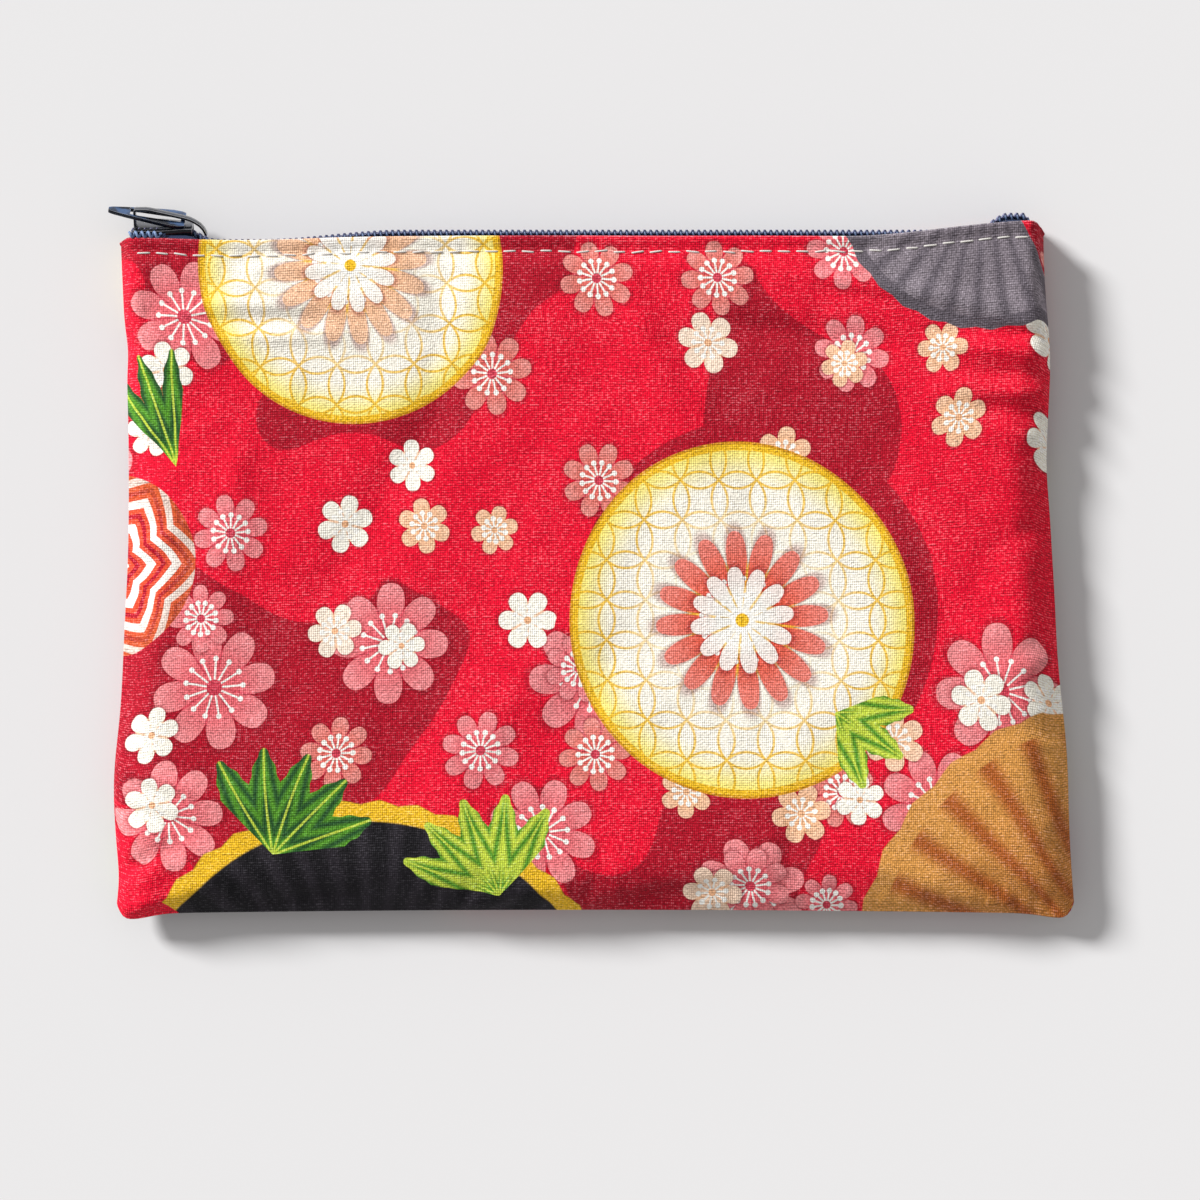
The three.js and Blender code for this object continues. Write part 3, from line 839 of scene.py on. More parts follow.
# rounds the edges sharper than so many degrees, marks their middles, and leans the piece over
def metalPiece(name, bm, width, sharp, place=Matrix()):
    for layer in list(bm.loops.layers.uv):
        bm.loops.layers.uv.remove(layer)
    bmesh.ops.recalc_face_normals(bm, faces=bm.faces)
    worn = bm.verts.layers.float.new("worn")
    limit = math.radians(sharp)
    hard = [e for e in bm.edges if len(e.link_faces) == 2 and e.calc_face_angle(0) > limit]
    made = bmesh.ops.bevel(
        bm, geom=hard, offset=width * mm, offset_type="OFFSET", segments=2,
        profile=0.5, affect="EDGES", material=-1, clamp_overlap=True,
    )
    faces = set(made["faces"])
    for vert in made["verts"]:
        vert[worn] = 1.0 if faces.issuperset(vert.link_faces) else 0.0
    bmesh.ops.transform(bm, verts=bm.verts, matrix=place)
    centre = Vector((0, slider["leanY"], outline["seamZ"])) * mm
    turn = Matrix.Rotation(math.radians(slider["lean"]), 3, "X")
    bmesh.ops.rotate(bm, verts=bm.verts, cent=centre, matrix=turn)
    piece = newObject(name, bm)
    smoothShade(piece, 38)
    return piece


def sliderShell():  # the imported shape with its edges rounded, up to its tail
    bm = meshOf(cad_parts["slider_body"])
    bmesh.ops.remove_doubles(bm, verts=bm.verts, dist=0.005 * mm)
    bmesh.ops.dissolve_limit(
        bm, angle_limit=math.radians(1), verts=bm.verts, edges=bm.edges, delimit=set()
    )
    bmesh.ops.bisect_plane(
        bm, geom=bm.verts[:] + bm.edges[:] + bm.faces[:], clear_outer=True,
        plane_co=Vector((slider["tail"] * mm, 0, 0)), plane_no=(1, 0, 0),
    )
    bmesh.ops.holes_fill(bm, edges=[e for e in bm.edges if e.is_boundary], sides=0)
    return metalPiece("slider_shell", bm, slider["bevel"], 35)


def sliderBridge():  # a strap from the mouth down to a hook over the chain
    path = slider["bridge"]
    last = len(path) - 1

    def place(s, row):
        return *path[round((s + 1) / 2 * last)], outline["seamZ"] - row * slider["bridgeWidth"] / 2

    bm = placedGrid(last, (-1, 1), place)
    bm.normal_update()
    bmesh.ops.solidify(bm, geom=bm.faces[:], thickness=slider["bridgeThickness"] * mm)
    return metalPiece("slider_bridge", bm, slider["bridgeBevel"], 50)


def pullPlace():  # from lying flat to where it hangs under the crown
    turned = Matrix(((-1, 0, 0, 0), (0, 0, 1, 0), (0, 1, 0, 0), (0, 0, 0, 1)))
    place = Matrix.Translation(Vector((*slider["pivot"], outline["seamZ"])) * mm)
    place = place @ Matrix.Rotation(-math.radians(slider["pitch"]), 4, "Z")
    return place @ Matrix.Rotation(math.radians(slider["roll"]), 4, "X") @ turned


def pullFrame():
    columns, widths = slider["pullColumns"], slider["pullHalfWidths"]
    first, last = slider["slotEnds"]

    def place(s, row):
        column = round((s + 1) / 2 * (len(columns) - 1))
        half = widths[column]
        slot = min(slider["slotHalfWidth"], half * slider["slotShare"])
        return columns[column], (-half, -slot, slot, half)[row], 0

    bm = placedGrid(len(columns) - 1, range(4), place)
    hole = []
    for face in bm.faces:
        x, y, _ = face.calc_center_median() / mm
        if first < x < last and abs(y) < slider["slotHalfWidth"] * 0.5:
            hole.append(face)
    bmesh.ops.delete(bm, geom=hole, context="FACES")
    bmesh.ops.solidify(bm, geom=bm.faces[:], thickness=slider["pullThickness"] * mm)
    middle = sum(v.co.z for v in bm.verts) / len(bm.verts)
    bmesh.ops.translate(bm, verts=bm.verts, vec=(0, 0, -middle))
    for sign in (-1, 1):
        dish = [
            f for f in bm.faces
            if f.normal.z * sign > 0.9 and last < f.calc_center_median().x / mm < columns[-3]
        ]
        bmesh.ops.inset_region(
            bm, faces=dish, thickness=slider["dishRim"] * mm, depth=-slider["dish"] * mm,
            use_even_offset=True,
        )
    return metalPiece("pull_frame", bm, slider["bevel"], 30, pullPlace())


# the zip's end, turned back in front of the slider
stub = {
    "start": -86.5,
    "turns": 5,
    "turnSteps": 14,
    "pitch": 1.17,
    "centreY": 63.4,
    "height": 4.75,  # mm above the seam plane
    "radius": 0.5,
    "wire": 0.25,
    "tapeStart": -86.2,
    "tapeLength": 6.4,
    "tapeFoot": (61.4, 3.5),  # Y, and mm above the seam plane
    "tapeThickness": 0.3,
}


def stubRoute():
    steps = stub["turnSteps"]
    route = []
    for step in range(stub["turns"] * steps + 1):
        angle = 2 * math.pi * step / steps
        x = stub["start"] + stub["pitch"] * step / steps
        droop = -0.25 * ease(x, -82, -80.4) - 0.3 * (1 - ease(x, -87.2, -86.2))
        y = stub["centreY"] + stub["radius"] * math.cos(angle) + droop
        z = outline["seamZ"] + stub["height"] + stub["radius"] * math.sin(angle) + 2 * droop
        route.append((x, y, z))
    return route


def stubTape():
    footY, footZ = stub["tapeFoot"]

    def place(s, row):
        share = row / 6
        x = stub["tapeStart"] + stub["tapeLength"] * (s + 1) / 2
        y = mix(footY, stub["centreY"] + 0.2, share) + 0.06 * math.sin(x * 2.1)
        z = outline["seamZ"] + mix(footZ, stub["height"] - stub["radius"] - 0.25, share)
        return x, y, z, x, share * 3

    made = newObject("stub_tape", placedGrid(16, range(7), place))
    thicken(made, stub["tapeThickness"], 0)
    return made


pieces = {}  # each with its body, side, slot and the node it replaces


def register(piece, body, side, slot, node):
    pieces[piece.name] = (piece, body, side, slot, node)


turns = round((0.0 - zipper["start"]) / zipper["pitch"])
middle = zipper["start"] + turns * zipper["pitch"]
for wall, creases in (("front", frontCreases), ("back", backCreases)):
    outer, last = outerCloth(wall + "_cloth", creases)
    settleCloth(outer, last)
    plain = addObject(wall + "_plain", outer.data.copy())
    addDetail(outer, last, creases)
    bm = meshOf(outer)
    stitches = stitchRoutes(BVHTree.FromBMesh(bm), wall)
    bm.free()
    sides = (0,) if wall == "back" else (-1, 1)
    for side in sides:
        start = zipper["start"] if side <= 0 else middle
        end = zipper["end"] if side >= 0 else middle
        mine = [r for r in stitches if side == 0 or (r[4][0] + 1.4) * side > 0]
        threads = [coilThreadRoute(wall, start, end, out) for out in zipper["threadsAt"]]
        wires = [
            wireObject(wall + kind + suffixes[side], routes, radius) for kind, routes, radius in (
                ("_coil_line", [coilRoute(wall, start, end + 0.01)], zipper["wire"]),
                ("_cord_line", [cordRoute(wall, start, end)], zipper["cordRadius"]),
                ("_coil_thread", threads, zipper["thread"]),
                ("_topstitches", mine, sewing["thread"]),
            )
        ]
        layers = [fleeceFrom(plain, wall, side, creases), liningCloth(wall, side)]
        for piece, (slot, node) in zip([*layers, zipTape(wall, side), *wires], (
            ("interfacing", "_interfacing"),
            ("lining_cotton", "_lining"),
            ("zipper_tape", "_zipper_tape"),
            ("zipper_coil", "_zipper_coil"),
            ("coil_cord", "_coil_cord"),
            ("zip_thread", "_coil_stitching"),
            ("topstitch_thread", "_topstitching"),
        )):
            register(piece, wall + "_wall", side, slot, wall + node)
    if wall == "back":  # it is cut from another place of the same cloth
        for loop in outer.data.uv_layers["flat"].data:
            loop.uv.x = cloth["printShift"] / 100 - loop.uv.x
    placeCloth(outer, wall, cloth["lowest"])
    for side in sides:
        bm = meshOf(outer)
        keepHalf(bm, side)
        half = newObject(wall + "_outer" + suffixes[side], bm)
        thicken(half, cloth["thickness"])
        register(half, wall + "_wall", side, "printed_cotton", wall + "_outer_panel")
    for used in (outer, plain):
        bpy.data.meshes.remove(used.data)
    print(wall, "wall made")

for name, inset, drop, slot, node in (
    ("outer_seam_thread", 1.3, 7.0, "seam_thread", "outer_seam_stitching"),
    ("lining_seam_thread", 5.3, 6.0, "lining_thread", "lining_seam_stitching"),
):
    made = wireObject(name, [seamRoute(inset, drop)], sewing["seamThread"])
    register(made, "back_wall", 0, slot, node)
stubCoil = wireObject("stub_coil", [stubRoute()], stub["wire"])
register(sliderShell(), "slider", 0, "slider_metal", "slider_body")
register(sliderBridge(), "slider", 0, "slider_metal", "slider_crown")
register(pullFrame(), "pull", 0, "slider_metal", "pull_tab")
register(stubCoil, "back_wall", 0, "zipper_coil", None)
register(stubTape(), "back_wall", 0, "zipper_tape", None)
print("pieces made", len(pieces))


# shader nodes written as sums
class Field:  # a number or a colour that changes over the surface
    def __init__(self, tree, socket):
        self.tree = tree
        self.socket = socket

    def math(self, operation, *others):
        return newField(self.tree, "Math", 0, enumerate((self, *others)), operation=operation)

    __add__ = __radd__ = partialmethod(math, "ADD")
    __mul__ = __rmul__ = partialmethod(math, "MULTIPLY")
    __sub__ = partialmethod(math, "SUBTRACT")
    __rsub__ = partialmethod(math, "MULTIPLY_ADD", -1.0)
    __truediv__ = partialmethod(math, "DIVIDE")
    __pow__ = partialmethod(math, "POWER")


def feed(place, value):
    if isinstance(value, Field):
        value.tree.links.new(value.socket, place)
    elif place.type == "RGBA" and len(value) == 3:
        place.default_value = (*value, 1)
    else:
        place.default_value = value


def newField(tree, kind, output, inputs=(), **settings):
    node = tree.nodes.new("ShaderNode" + kind)
    for key, value in settings.items():
        setattr(node, key, value)
    for place, value in dict(inputs).items():
        feed(node.inputs[place], value)
    return Field(tree, node.outputs[output])


def outputsOf(field):  # all that its node gives
    return [Field(field.tree, socket) for socket in field.socket.node.outputs]


def smooth(value, low, high):  # 0 at low, 1 at high
    inputs = {"Value": value, "From Min": low, "From Max": high}
    return newField(value.tree, "MapRange", 0, inputs, interpolation_type="SMOOTHSTEP")


def joined(x, y, z=0.0):
    return newField(x.tree, "CombineXYZ", 0, enumerate((x, y, z)))


def parts(vector):
    return outputsOf(newField(vector.tree, "SeparateXYZ", 0, {0: vector}))


def grain(x, y, z=0.0, detail=2.0):  # smooth noise about 0.5, with bumps about 1 wide
    inputs = {"Vector": joined(x, y, z), "Scale": 1.0, "Detail": detail}
    return newField(x.tree, "TexNoise", 0, inputs)


def paint(under, share, colour):
    inputs = {0: share, 6: under, 7: colour}
    return newField(share.tree, "Mix", 2, inputs, data_type="RGBA")


def shaded(colour, strength):  # the colour times a value that may pass 1
    inputs = {0: colour, "Scale": strength}
    return newField(strength.tree, "VectorMath", 0, inputs, operation="SCALE")


def makeGroup(name, inputs, outputs, build):
    tree = bpy.data.node_groups.new(name, "ShaderNodeTree")
    for labels, way in ((inputs, "INPUT"), (outputs, "OUTPUT")):
        for label in labels.split():
            kind = "NodeSocketColor" if label == "colour" else "NodeSocketFloat"
            tree.interface.new_socket(label, in_out=way, socket_type=kind)
    start = tree.nodes.new("NodeGroupInput")
    end = tree.nodes.new("NodeGroupOutput")
    results = build(*[Field(tree, start.outputs[label]) for label in inputs.split()])
    for label, value in zip(outputs.split(), results):
        feed(end.inputs[label], value)
    return tree


def useGroup(group, x, *others):
    first = newField(x.tree, "Group", 0, (), node_tree=group)
    for place, value in zip(first.socket.node.inputs, (x, *others)):
        feed(place, value)
    return {field.socket.name: field for field in outputsOf(first)}


def ink(red, green, blue):  # a colour as seen, 0 to 255
    return tuple(((c / 255 + 0.055) / 1.055) ** 2.4 for c in (red, green, blue))


def polar(x, y):
    return (x * x + y * y) ** 0.5, y.math("ARCTAN2", x)


def folded(value, count):  # 0 in the middle of each of count sectors, 1 between two
    return (value * count * (0.5 / math.pi)).math("PINGPONG", 0.5) * 2


# each shape takes its place in mm and gives masks
def rosetteShape(x, y, radius, petals, turn):
    r, angle = polar(x, y)
    q = r / radius
    t = folded(angle + turn, petals)
    petalEdge = 1.0 - 0.42 * t**2.6
    soft = 0.12 * (radius ** -1.0)
    inside = smooth(q, petalEdge + soft, petalEdge - soft)
    gap = q * (1.0 - t) * (math.pi * (petals ** -1.0))
    slit = smooth(gap * radius, 0.34, 0.12) * smooth(q, 0.2, 0.3)
    halo = smooth(q, petalEdge + 0.16, petalEdge + 0.02)
    heart = smooth(q * radius, 0.13 * radius + 0.1, 0.13 * radius - 0.1)
    count = petals * 1.5 + 1.0
    u = folded(angle + turn, count) * q * radius * (math.pi * (count ** -1.0))
    stamen = smooth(u, 0.26, 0.1) * smooth(q, 0.46, 0.42)
    off = ((q - 0.47) * radius) ** 2.0 + u * u
    stamen = stamen.math("MAXIMUM", smooth(off, 0.36, 0.16))
    return inside, slit, heart, stamen, q, halo


rosetteMasks = "inside slit heart stamen depth halo"
rosette = makeGroup("rosette", "x y radius petals turn", rosetteMasks, rosetteShape)


def rosetteScatter(x, y, cell, seed, smallest, largest, petals, clusters, filled):
    inputs = {"Vector": joined(x + seed, y - seed), "Scale": cell ** -1.0, "Randomness": 0.5}
    cells = newField(x.tree, "TexVoronoi", 0, inputs, voronoi_dimensions="2D")
    _, tint, place, *_ = outputsOf(cells)
    atX, atY, _ = parts(place)
    size, turn, pick = parts(tint)
    radius = cell * (smallest + (largest - smallest) * size)
    shown = grain(atX / clusters, atY / clusters, seed, 0.0)
    shown = smooth(shown, filled, filled - 0.001)
    shape = useGroup(rosette, x + seed - atX, y - seed - atY, radius, petals, turn * 6.0)
    masks = [shape[k] * shown for k in ("inside", "slit", "heart", "stamen")]
    return (*masks, shape["depth"], shape["halo"] * shown, pick)


scatter = makeGroup(
    "rosetteScatter", "x y cell seed smallest largest petals clusters filled",
    rosetteMasks + " pick", rosetteScatter,
)


def fanShape(x, y, radius, aim, spread, folds):
    r, angle = polar(x, y)
    q = r / radius
    away = (angle - aim).math("WRAP", math.pi, -math.pi)
    within = smooth((spread / 2 - away.math("ABSOLUTE")) * r, -0.1, 0.1)
    t = (away * folds).math("PINGPONG", 0.5) * 2
    rim = 1.0 - 0.018 * t
    leaf = within * smooth(q, rim + 0.004, rim - 0.004) * smooth(q, 0.33, 0.34)
    band = smooth(q, 0.915, 0.925)
    rib = smooth(t * r / folds, 0.5, 0.2)
    stick = rib * within * smooth(q, 0.345, 0.335) * smooth(q, 0.02, 0.03)
    return leaf, band, t, stick, q


fan = makeGroup("fan", "x y radius aim spread folds", "leaf band pleat stick depth", fanShape)


def latticeShape(x, y, size, width):  # circles that meet in fours
    a = (x / size).math("PINGPONG", 0.5)
    b = (y / size).math("PINGPONG", 0.5)
    near = None
    for cx, cy in ((0.0, 0.0), (1.0, 0.0), (0.0, 1.0)):
        r, _ = polar(a - cx, b - cy)
        off = (r - math.sqrt(0.5)).math("ABSOLUTE")
        near = near.math("MINIMUM", off) if near else off
    return (smooth(near * size, width, width * 0.4),)


lattice = makeGroup("circleLattice", "x y size width", "line", latticeShape)


def leafShape(x, y, length, width, aim, spread, count):  # leaves that spread from one point
    r, angle = polar(x, y)
    q = r / length
    away = (angle - aim).math("WRAP", math.pi, -math.pi)
    within = smooth(away.math("ABSOLUTE"), spread / 2 + 0.01, spread / 2 - 0.01)
    t = (away / spread * count).math("PINGPONG", 0.5)
    side = t * spread / count * r
    bulge = (q * math.pi).math("SINE").math("MAXIMUM", 0.0) ** 0.7 * width
    edge = bulge + (q * 40.0).math("SINE") * 0.05 * width
    inside = smooth(side, edge + 0.1, edge - 0.1) * within * smooth(q, 1.0, 0.98)
    vein = smooth(side, 0.3, 0.12) * inside
    tint = (side * 3.0 + q * 9.0).math("SINE") * 0.5 + 0.5
    return inside, vein, tint


leaves = makeGroup(
    "leafSpray", "x y length width aim spread count", "inside vein tint", leafShape
)


# the print, in mm of flat cloth; it repeats as a roll of cloth does
prints = {
    "repeat": (212.0, 152.0),
    "lattice": (7.4, 0.34),
    "medallions": (
        # x, y, radius, middle colours
        (29.0, -9.0, 33.0, "coral", "white"),
        (-45.0, 57.0, 29.5, "peach", "white"),
    ),
    "fans": (
        # x, y, radius, aim, spread, folds, colours
        (79.0, 73.0, 30.0, -2.2, 2.3, 5.0, "grey", "darkGrey", "darkGrey"),
        (100.0, -76.0, 52.0, 2.45, 1.5, 5.0, "tan", "brown", "tan"),
        (-43.0, -92.0, 50.0, 1.5, 1.9, 7.0, "black", "soot", "gold"),
    ),
    "sprays": (
        # x, y, length, width, aim, spread, count, colours
        (-80.0, 20.0, 22.0, 2.2, 1.9, 0.9, 3.0, "green", "leafGreen"),
        (46.0, -26.0, 15.0, 2.9, -0.6, 1.9, 3.0, "lime", "leafGreen"),
        (-60.0, -52.0, 20.0, 3.2, 1.2, 2.2, 5.0, "green", "leafGreen"),
        (-18.0, -60.0, 19.0, 3.0, 1.9, 2.2, 5.0, "lime", "leafGreen"),
    ),
    "balls": ((-93.0, 2.0, 17.0),),
    "scatters": (
        # cell, seed, smallest, largest, petals, clusters, filled, petal colours, heart
        (36.0, 11.0, 0.27, 0.35, 8.0, 70.0, 0.51, "pink", "rose", "rose"),
        (24.0, 29.0, 0.24, 0.33, 8.0, 46.0, 0.50, "pink", "peachRose", "rose"),
        (17.0, 53.0, 0.26, 0.34, 6.0, 34.0, 0.45, "cream", "peach", "peach"),
    ),
}
inks = {
    "red": ink(240, 6, 48),
    "crimson": ink(182, 10, 38),
    "shadow": ink(140, 10, 30),
    "pink": ink(238, 104, 112),
    "rose": ink(212, 62, 82),
    "peachRose": ink(226, 104, 92),
    "cream": ink(255, 249, 234),
    "peach": ink(246, 186, 140),
    "gold": ink(244, 192, 36),
    "oldGold": ink(214, 150, 18),
    "lemon": ink(255, 236, 120),
    "tan": ink(222, 156, 78),
    "brown": ink(180, 96, 38),
    "grey": ink(140, 130, 138),
    "darkGrey": ink(104, 96, 104),
    "black": ink(22, 20, 24),
    "soot": ink(42, 38, 44),
    "green": ink(38, 84, 40),
    "leafGreen": ink(86, 150, 40),
    "lime": ink(206, 224, 72),
    "coral": ink(232, 78, 48),
    "white": ink(255, 252, 244),
    "bare": ink(252, 246, 255),  # the yarn where the print is thin, and painted glints on the yarn crowns and the fold's crest
    "thrown": ink(140, 122, 122),  # the light that the cloth throws on what is near
}


def nearby(x, y, atX, atY):  # the place about a motif, in whichever repeat is nearest
    wide, tall = prints["repeat"]
    u = (x - atX).math("WRAP", wide / 2, -wide / 2)
    return u, (y - atY).math("WRAP", tall / 2, -tall / 2)


def paintRosette(under, shape, petal, tip, heart):
    under = paint(under, shape["halo"] * 0.5, inks["shadow"])
    colour = paint(petal, smooth(shape["depth"], 0.3, 1.0) * 0.16, inks[tip])
    under = paint(under, shape["inside"], colour)
    under = paint(under, shape["inside"] * shape["slit"] * 0.75, inks[heart])
    under = paint(under, shape["stamen"], inks["white"])
    return paint(under, shape["heart"], inks[heart])


def printDesign(x, y):
    patch = smooth(grain(x / 46, y / 46, 3.0, 1.0), 0.535, 0.54)
    colour = paint(inks["red"], patch, inks["crimson"])
    for atX, atY, radius, *_ in prints["medallions"]:
        r, _ = polar(*nearby(x, y, atX + 3.0, atY + 2.5))
        colour = paint(colour, smooth(r, radius + 1.8, radius + 1.5), inks["crimson"])
    for *values, first, second, heart in prints["scatters"]:
        shape = useGroup(scatter, x, y, *values)
        petal = paint(inks[first], smooth(shape["pick"], 0.45, 0.75), inks[second])
        colour = paintRosette(colour, shape, petal, "white", heart)
    for atX, atY, *values, light, dark, edge in prints["fans"]:
        shape = useGroup(fan, *nearby(x, y, atX, atY), *values)
        pleat = paint(inks[light], smooth(shape["pleat"], 0.25, 0.95), inks[dark])
        pleat = paint(pleat, smooth(shape["depth"], 0.9, 0.4) * 0.5, inks[dark])
        colour = paint(colour, shape["stick"], inks[edge])
        colour = paint(colour, shape["leaf"], pleat)
        colour = paint(colour, shape["leaf"] * shape["band"], inks[edge])
    for atX, atY, radius, petal, second in prints["medallions"]:
        u, v = nearby(x, y, atX, atY)
        q = polar(u, v)[0] / radius
        line = useGroup(lattice, u, v, *prints["lattice"])["line"]
        plate = inks["cream"]
        for share, tone in (
            (smooth(q, 0.72, 0.97), "lemon"),
            (line * smooth(q, 0.3, 0.8) * 0.9, "gold"),
            (smooth(q, 0.945, 0.955), "gold"),
            (smooth(q, 0.982, 0.988), "oldGold"),
        ):
            plate = paint(plate, share, inks[tone])
        colour = paint(colour, smooth(q, 1.003, 0.997), plate)
        for share, petals, first, tip in ((0.5, 16.0, petal, second), (0.3, 12.0, second, petal)):
            shape = useGroup(rosette, u, v, radius * share, petals, share * 3)
            colour = paintRosette(colour, shape, inks[first], tip, "gold")
    for atX, atY, *values, light, dark in prints["sprays"]:
        shape = useGroup(leaves, *nearby(x, y, atX, atY), *values)
        tint = paint(inks[light], shape["tint"], inks[dark])
        colour = paint(colour, shape["inside"], tint)
        colour = paint(colour, shape["vein"] * 0.8, inks["lime"])
    for atX, atY, radius in prints["balls"]:
        r, angle = polar(*nearby(x, y, atX, atY))
        q = r / radius
        star = (q * 3.2 * (1.0 + 0.35 * folded(angle, 6.0))).math("PINGPONG", 0.5)
        thread = paint(inks["coral"], smooth(star, 0.3, 0.34), inks["white"])
        thread = paint(thread, smooth(star, 0.12, 0.08), inks["crimson"])
        thread = paint(thread, smooth(q, 0.55, 1.0) * 0.5, inks["brown"])
        colour = paint(colour, smooth(q, 1.005, 0.995), thread)
    return (colour,)


printGroup = makeGroup("printDesign", "x y", "colour", printDesign)


def weaveShape(x, y, warp, weft, slub):  # plain weave, one up and one down
    u = x / warp + grain(x / 3.0, y / 9.0, 1.0, 1.0) * 0.5
    v = y / weft + grain(x / 9.0, y / 3.0, 5.0, 1.0) * 0.5
    a = (u * math.pi).math("SINE")
    b = (v * math.pi).math("SINE")
    height = (a * b).math("ABSOLUTE") ** 0.6 * 0.55 + (a * a + b * b) ** 0.5 * 0.32
    over = smooth(a * b, -0.15, 0.15) - 0.5
    warpYarn = grain(x / (warp * 1.3), y / (warp * 14), 9.0, 1.0) - 0.5
    weftYarn = grain(x / (weft * 14), y / (weft * 1.3), 13.0, 1.0) - 0.5
    yarn = warpYarn + weftYarn
    speck = grain(x / 0.7, y / 0.34, 17.0, 0.0) - 0.5
    rows = b.math("ABSOLUTE") - 0.64
    # darker down between the yarns and the rows and lighter on their crowns: painted shade and
    # highlight; the rest is the yarns' own tone
    tone = over * 0.2 + yarn * slub + (height - 0.6) * 0.35 + rows * 0.3 + speck * 0.95
    return tone, height + yarn * 0.6 + speck * 1.6


weave = makeGroup("plainWeave", "x y warp weft slub", "tone height", weaveShape)


# the materials: each look gives what it feeds, the bumps' height and their depth in mm
def printedCotton(x, y, z, *yarns):
    threads = useGroup(weave, x, y, *yarns)
    tone, height = threads["tone"], threads["height"]
    worn = grain(x / 14, y / 14, 2.0, 3.0) - 0.5
    colour = useGroup(printGroup, x, y)["colour"]
    taken = smooth(parts(colour)[0], -0.2, 0.5)  # dark inks hide the cloth better
    # lighter on the thread crowns: bare yarn showing through the print, and a painted glint as well
    bare = smooth(height + worn * 0.6, 0.74, 1.4) * taken * 0.13
    foldLine = outline["topY"] - cloth["crestRows"][-1] + cloth["foldRadius"] * math.pi / 2
    # a lighter line along the fold's crest: rubbed cloth, and a painted highlight as well
    rubbedAndGlinting = smooth((y - foldLine).math("ABSOLUTE"), 0.7, 0.2) * smooth(worn + tone, -0.3, 0.2)
    colour = paint(colour, (bare + rubbedAndGlinting * 0.17).math("MINIMUM", 0.25), inks["bare"])
    pale = smooth(parts(colour)[1], 0.4, 0.9)
    # the weave's tone, with its painted shade between the yarns, darkens and lightens the print
    colour = shaded(colour, 1.02 + tone * (1.0 - pale * 0.45) + worn * 0.12)
    thrown = newField(x.tree, "LightPath", "Is Diffuse Ray")
    colour = paint(colour, thrown * 0.7, inks["thrown"])
    return {"Base Color": colour, "Roughness": 0.8 + tone * 0.3}, height, 0.09


def plainCotton(x, y, z, colour, flecks, *yarns):
    threads = useGroup(weave, x, y, *yarns)
    tone, height = threads["tone"], threads["height"]
    fleck = smooth(grain(x / 0.9, y / 0.5, 4.0, 3.0), 0.68, 0.78)
    cloud = grain(x / 11, y / 11, 8.0, 3.0) - 0.5
    tinted = paint(colour, fleck * 0.5, flecks)
    # the weave's tone carries painted shade between the yarns
    tinted = shaded(tinted, 1.0 + tone * 0.8 + cloud * 0.1)
    return {"Base Color": tinted, "Roughness": 0.84 + tone * 0.2}, height, 0.07


def felt(x, y, z, colour, shade):
    fibre = grain(x / 0.5, y / 0.18, z, 4.0)
    tuft = grain(x / 3.0, y / 3.0, z, 3.0)
    tinted = paint(shade, smooth(fibre * 0.6 + tuft * 0.4, 0.3, 0.62), colour)
    return {"Base Color": tinted, "Roughness": 0.85 + fibre * 0.12}, fibre + tuft * 1.5, 0.16


def ribbedTape(x, y, z, colour, light):
    rib, cross = [
        ((x / 0.46 + y / slope) * math.pi).math("SINE").math("ABSOLUTE") for slope in (0.6, -0.6)
    ]
    side = smooth((y / 1.6 * math.pi).math("SINE"), -0.1, 0.1)
    twill = rib * side + cross * (1.0 - side)
    fuzz = grain(x / 0.3, y / 0.3, 1.0, 3.0)
    tinted = paint(colour, smooth(twill * 0.7 + fuzz * 0.5, 0.35, 1.05) * 0.7, light)
    return {"Base Color": tinted, "Roughness": 0.62 + fuzz * 0.3}, twill + fuzz * 0.4, 0.07


def spunThread(x, y, z, colour, shade, pitch, gloss=0.6):
    ply = ((x + (y + z)) / pitch * math.pi).math("SINE").math("ABSOLUTE")
    fuzz = grain(x / 0.12, y / 0.12, z / 0.12, 2.0)
    tinted = paint(shade, smooth(ply + fuzz * 0.5, 0.25, 0.95), colour)
    return {"Base Color": tinted, "Roughness": gloss + fuzz * 0.25}, ply + fuzz * 0.4, 0.06


def nylonWire(x, y, z, colour, light):
    streak = grain(x / 0.5, y / 0.12, z / 0.5, 2.0)
    dust = smooth(grain(x / 1.7, y / 1.7, z / 1.7, 4.0), 0.52, 0.72)
    tinted = paint(colour, streak * 0.6 + dust * 0.25, light)
    roughness = 0.3 + streak * 0.14 + dust * 0.25
    return {"Base Color": tinted, "Roughness": roughness}, streak, 0.02


def enamel(x, y, z, colour, paintedSheenColour, bare, rubAndGlint):  # the last value is how far bare metal reaches over the edges: worn enamel, and a painted highlight as well
    scuff = grain(x / 0.7, y / 0.7, z / 0.7, 4.0)
    cast = grain(x / 2.6, y / 2.6, z / 2.6, 2.0)
    upward = parts(newField(x.tree, "TexCoord", "Normal"))[1]
    edge = newField(x.tree, "Attribute", "Fac", attribute_name="worn")
    # the bevelled edges turn bare metal: wear, which also stands in as a painted highlight
    rubbedAndGlinting = smooth(edge * (0.6 + scuff), 0.9 - rubAndGlint, 1.3 - rubAndGlint)
    paintedSheenShare = smooth(upward + cast * 1.6, 1.35, 1.75)  # the upward faces take a painted reflection colour
    return {
        "Base Color": paint(paint(colour, paintedSheenShare, paintedSheenColour), rubbedAndGlinting, bare),
        "Roughness": 0.2 + scuff * 0.18,
        "Metallic": 1.0,
        "Coat Weight": 0.7 - rubbedAndGlinting * 0.6,
        "Coat Roughness": 0.08,
    }, cast + scuff * 0.15, 0.03


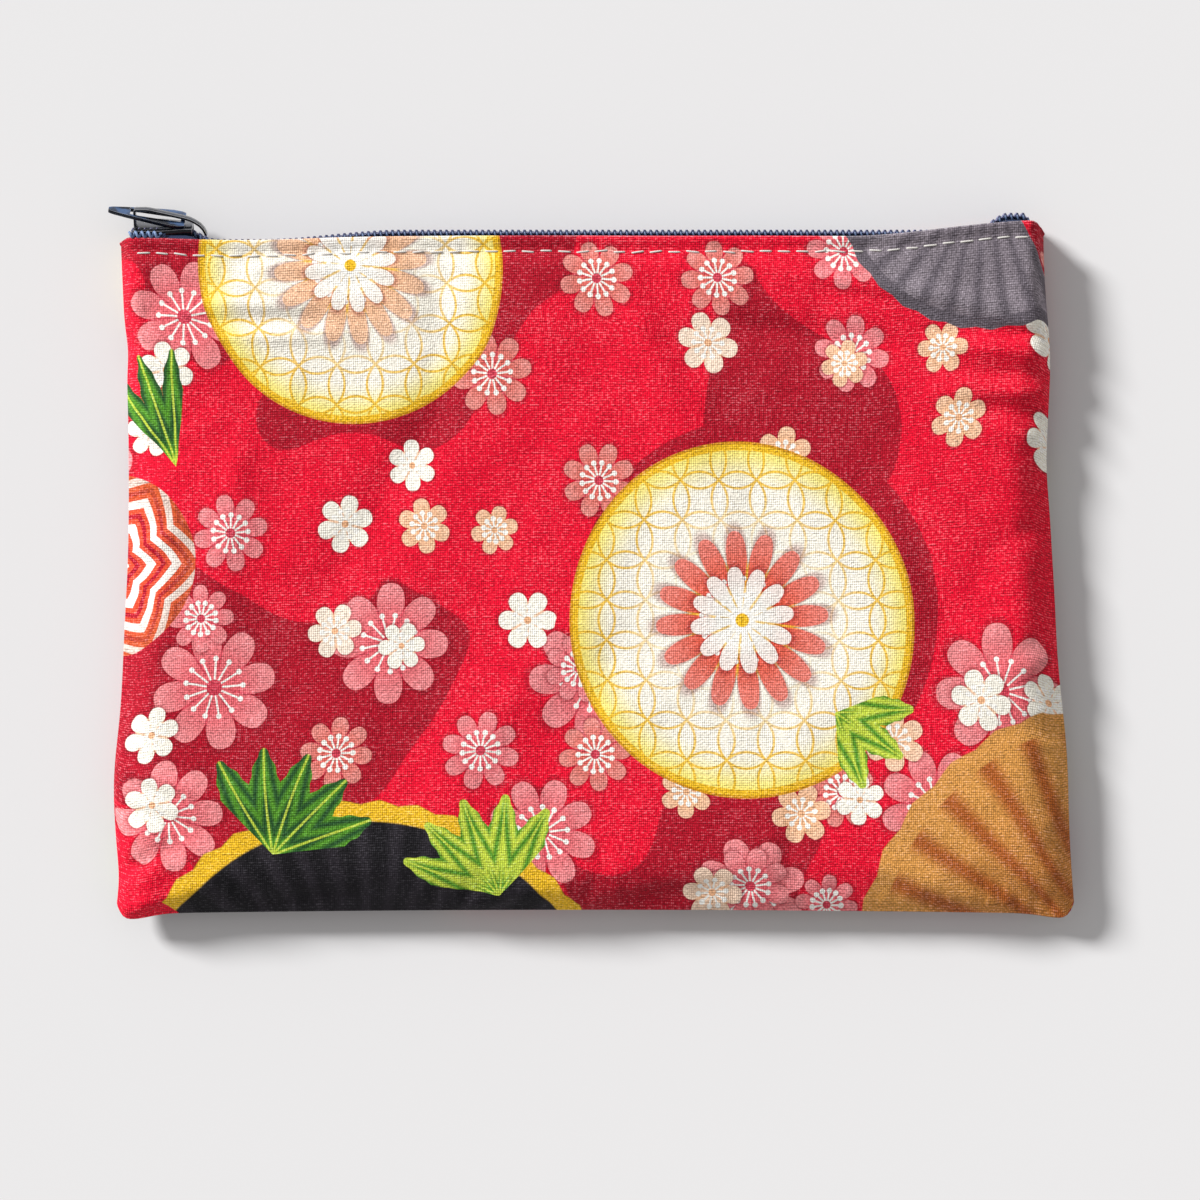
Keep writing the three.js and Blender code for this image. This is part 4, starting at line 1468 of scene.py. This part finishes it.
def makeMaterial(name, look, specular, *values):
    material = bpy.data.materials.new(name)
    material.use_nodes = True
    tree = material.node_tree
    if look in (printedCotton, plainCotton, ribbedTape):  # on the flat cloth
        place, scale = newField(tree, "UVMap", 0, uv_map="flat"), 100.0
    else:
        place, scale = newField(tree, "TexCoord", "Object"), 1000.0
    fed, height, depth = look(*[part * scale for part in parts(place)], *values)
    bump = newField(tree, "Bump", 0, {"Strength": 1.0, "Distance": depth * mm, "Height": height})
    shader = tree.nodes["Principled BSDF"]
    for label, value in {**fed, "Specular IOR Level": specular, "Normal": bump}.items():
        feed(shader.inputs[label], value)
    return material


looks = {
    # look, specular level, and what the look takes: colours, a pitch in mm, or the weave's values
    "printed_cotton": (printedCotton, 0.18, 0.363, 0.444, 0.4),
    "interfacing": (felt, 0.15, (0.9, 0.9, 0.87), (0.74, 0.74, 0.72)),
    "lining_cotton": (
        plainCotton, 0.2, (0.83, 0.77, 0.64), (0.42, 0.32, 0.2), 0.42, 0.46, 0.5
    ),
    "zipper_tape": (ribbedTape, 0.3, (0.012, 0.02, 0.055), (0.05, 0.075, 0.16)),
    "zipper_coil": (nylonWire, 0.6, (0.03, 0.055, 0.14), (0.26, 0.37, 0.6)),
    "coil_cord": (spunThread, 0.35, (0.03, 0.045, 0.1), (0.008, 0.012, 0.03), 0.5),
    "zip_thread": (spunThread, 0.35, (0.34, 0.33, 0.52), (0.12, 0.12, 0.24), 0.3),
    "topstitch_thread": (spunThread, 0.35, (0.9, 0.87, 0.82), (0.62, 0.58, 0.54), 0.34, 0.5),
    "seam_thread": (spunThread, 0.35, (0.42, 0.014, 0.04), (0.2, 0.006, 0.02), 0.3),
    "lining_thread": (spunThread, 0.35, (0.84, 0.82, 0.76), (0.6, 0.57, 0.5), 0.3),
    # the enamel's second colour is a painted reflection on the upward faces
    "slider_metal": (
        enamel, 0.5, (0.012, 0.014, 0.02), (0.04, 0.05, 0.075), (0.7, 0.71, 0.74), 0.5
    ),
    # the pull's copy: a bluer painted reflection, and bare metal further over its edges as painted
    # highlight
    "pull_metal": (
        enamel, 0.5, (0.014, 0.019, 0.032), (0.07, 0.16, 0.36), (0.86, 0.88, 0.92), 0.75
    ),
    # the zip's turned end: a lighter copy of the coil's nylon, painted as if lit
    "stub_nylon": (nylonWire, 0.6, (0.05, 0.11, 0.3), (0.5, 0.68, 0.9)),
}
materials = {name: makeMaterial(name, *values) for name, values in looks.items()}
# pieces that take copies of their kind's material with painted light
paintedLightCopies = {"pull_frame": "pull_metal", "stub_coil": "stub_nylon"}
print("materials made", len(materials))

# a stretch for each half of the front wall, mm along X
opening = {-1: (-84.0, -3.2), 1: (56.0, 0.6)}
for name, (piece, body, side, slot, node) in pieces.items():
    piece.data.materials.append(materials[paintedLightCopies.get(name, slot)])
    if node:
        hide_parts(node)
    if side:
        start, end = opening[side]
        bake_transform(piece)
    else:
        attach(piece, body)

# each piece's name, split into its wall and its kind
for name, (piece, body, side, slot, node) in pieces.items():
    wall, _, kind = name.removesuffix(suffixes[side]).partition("_")
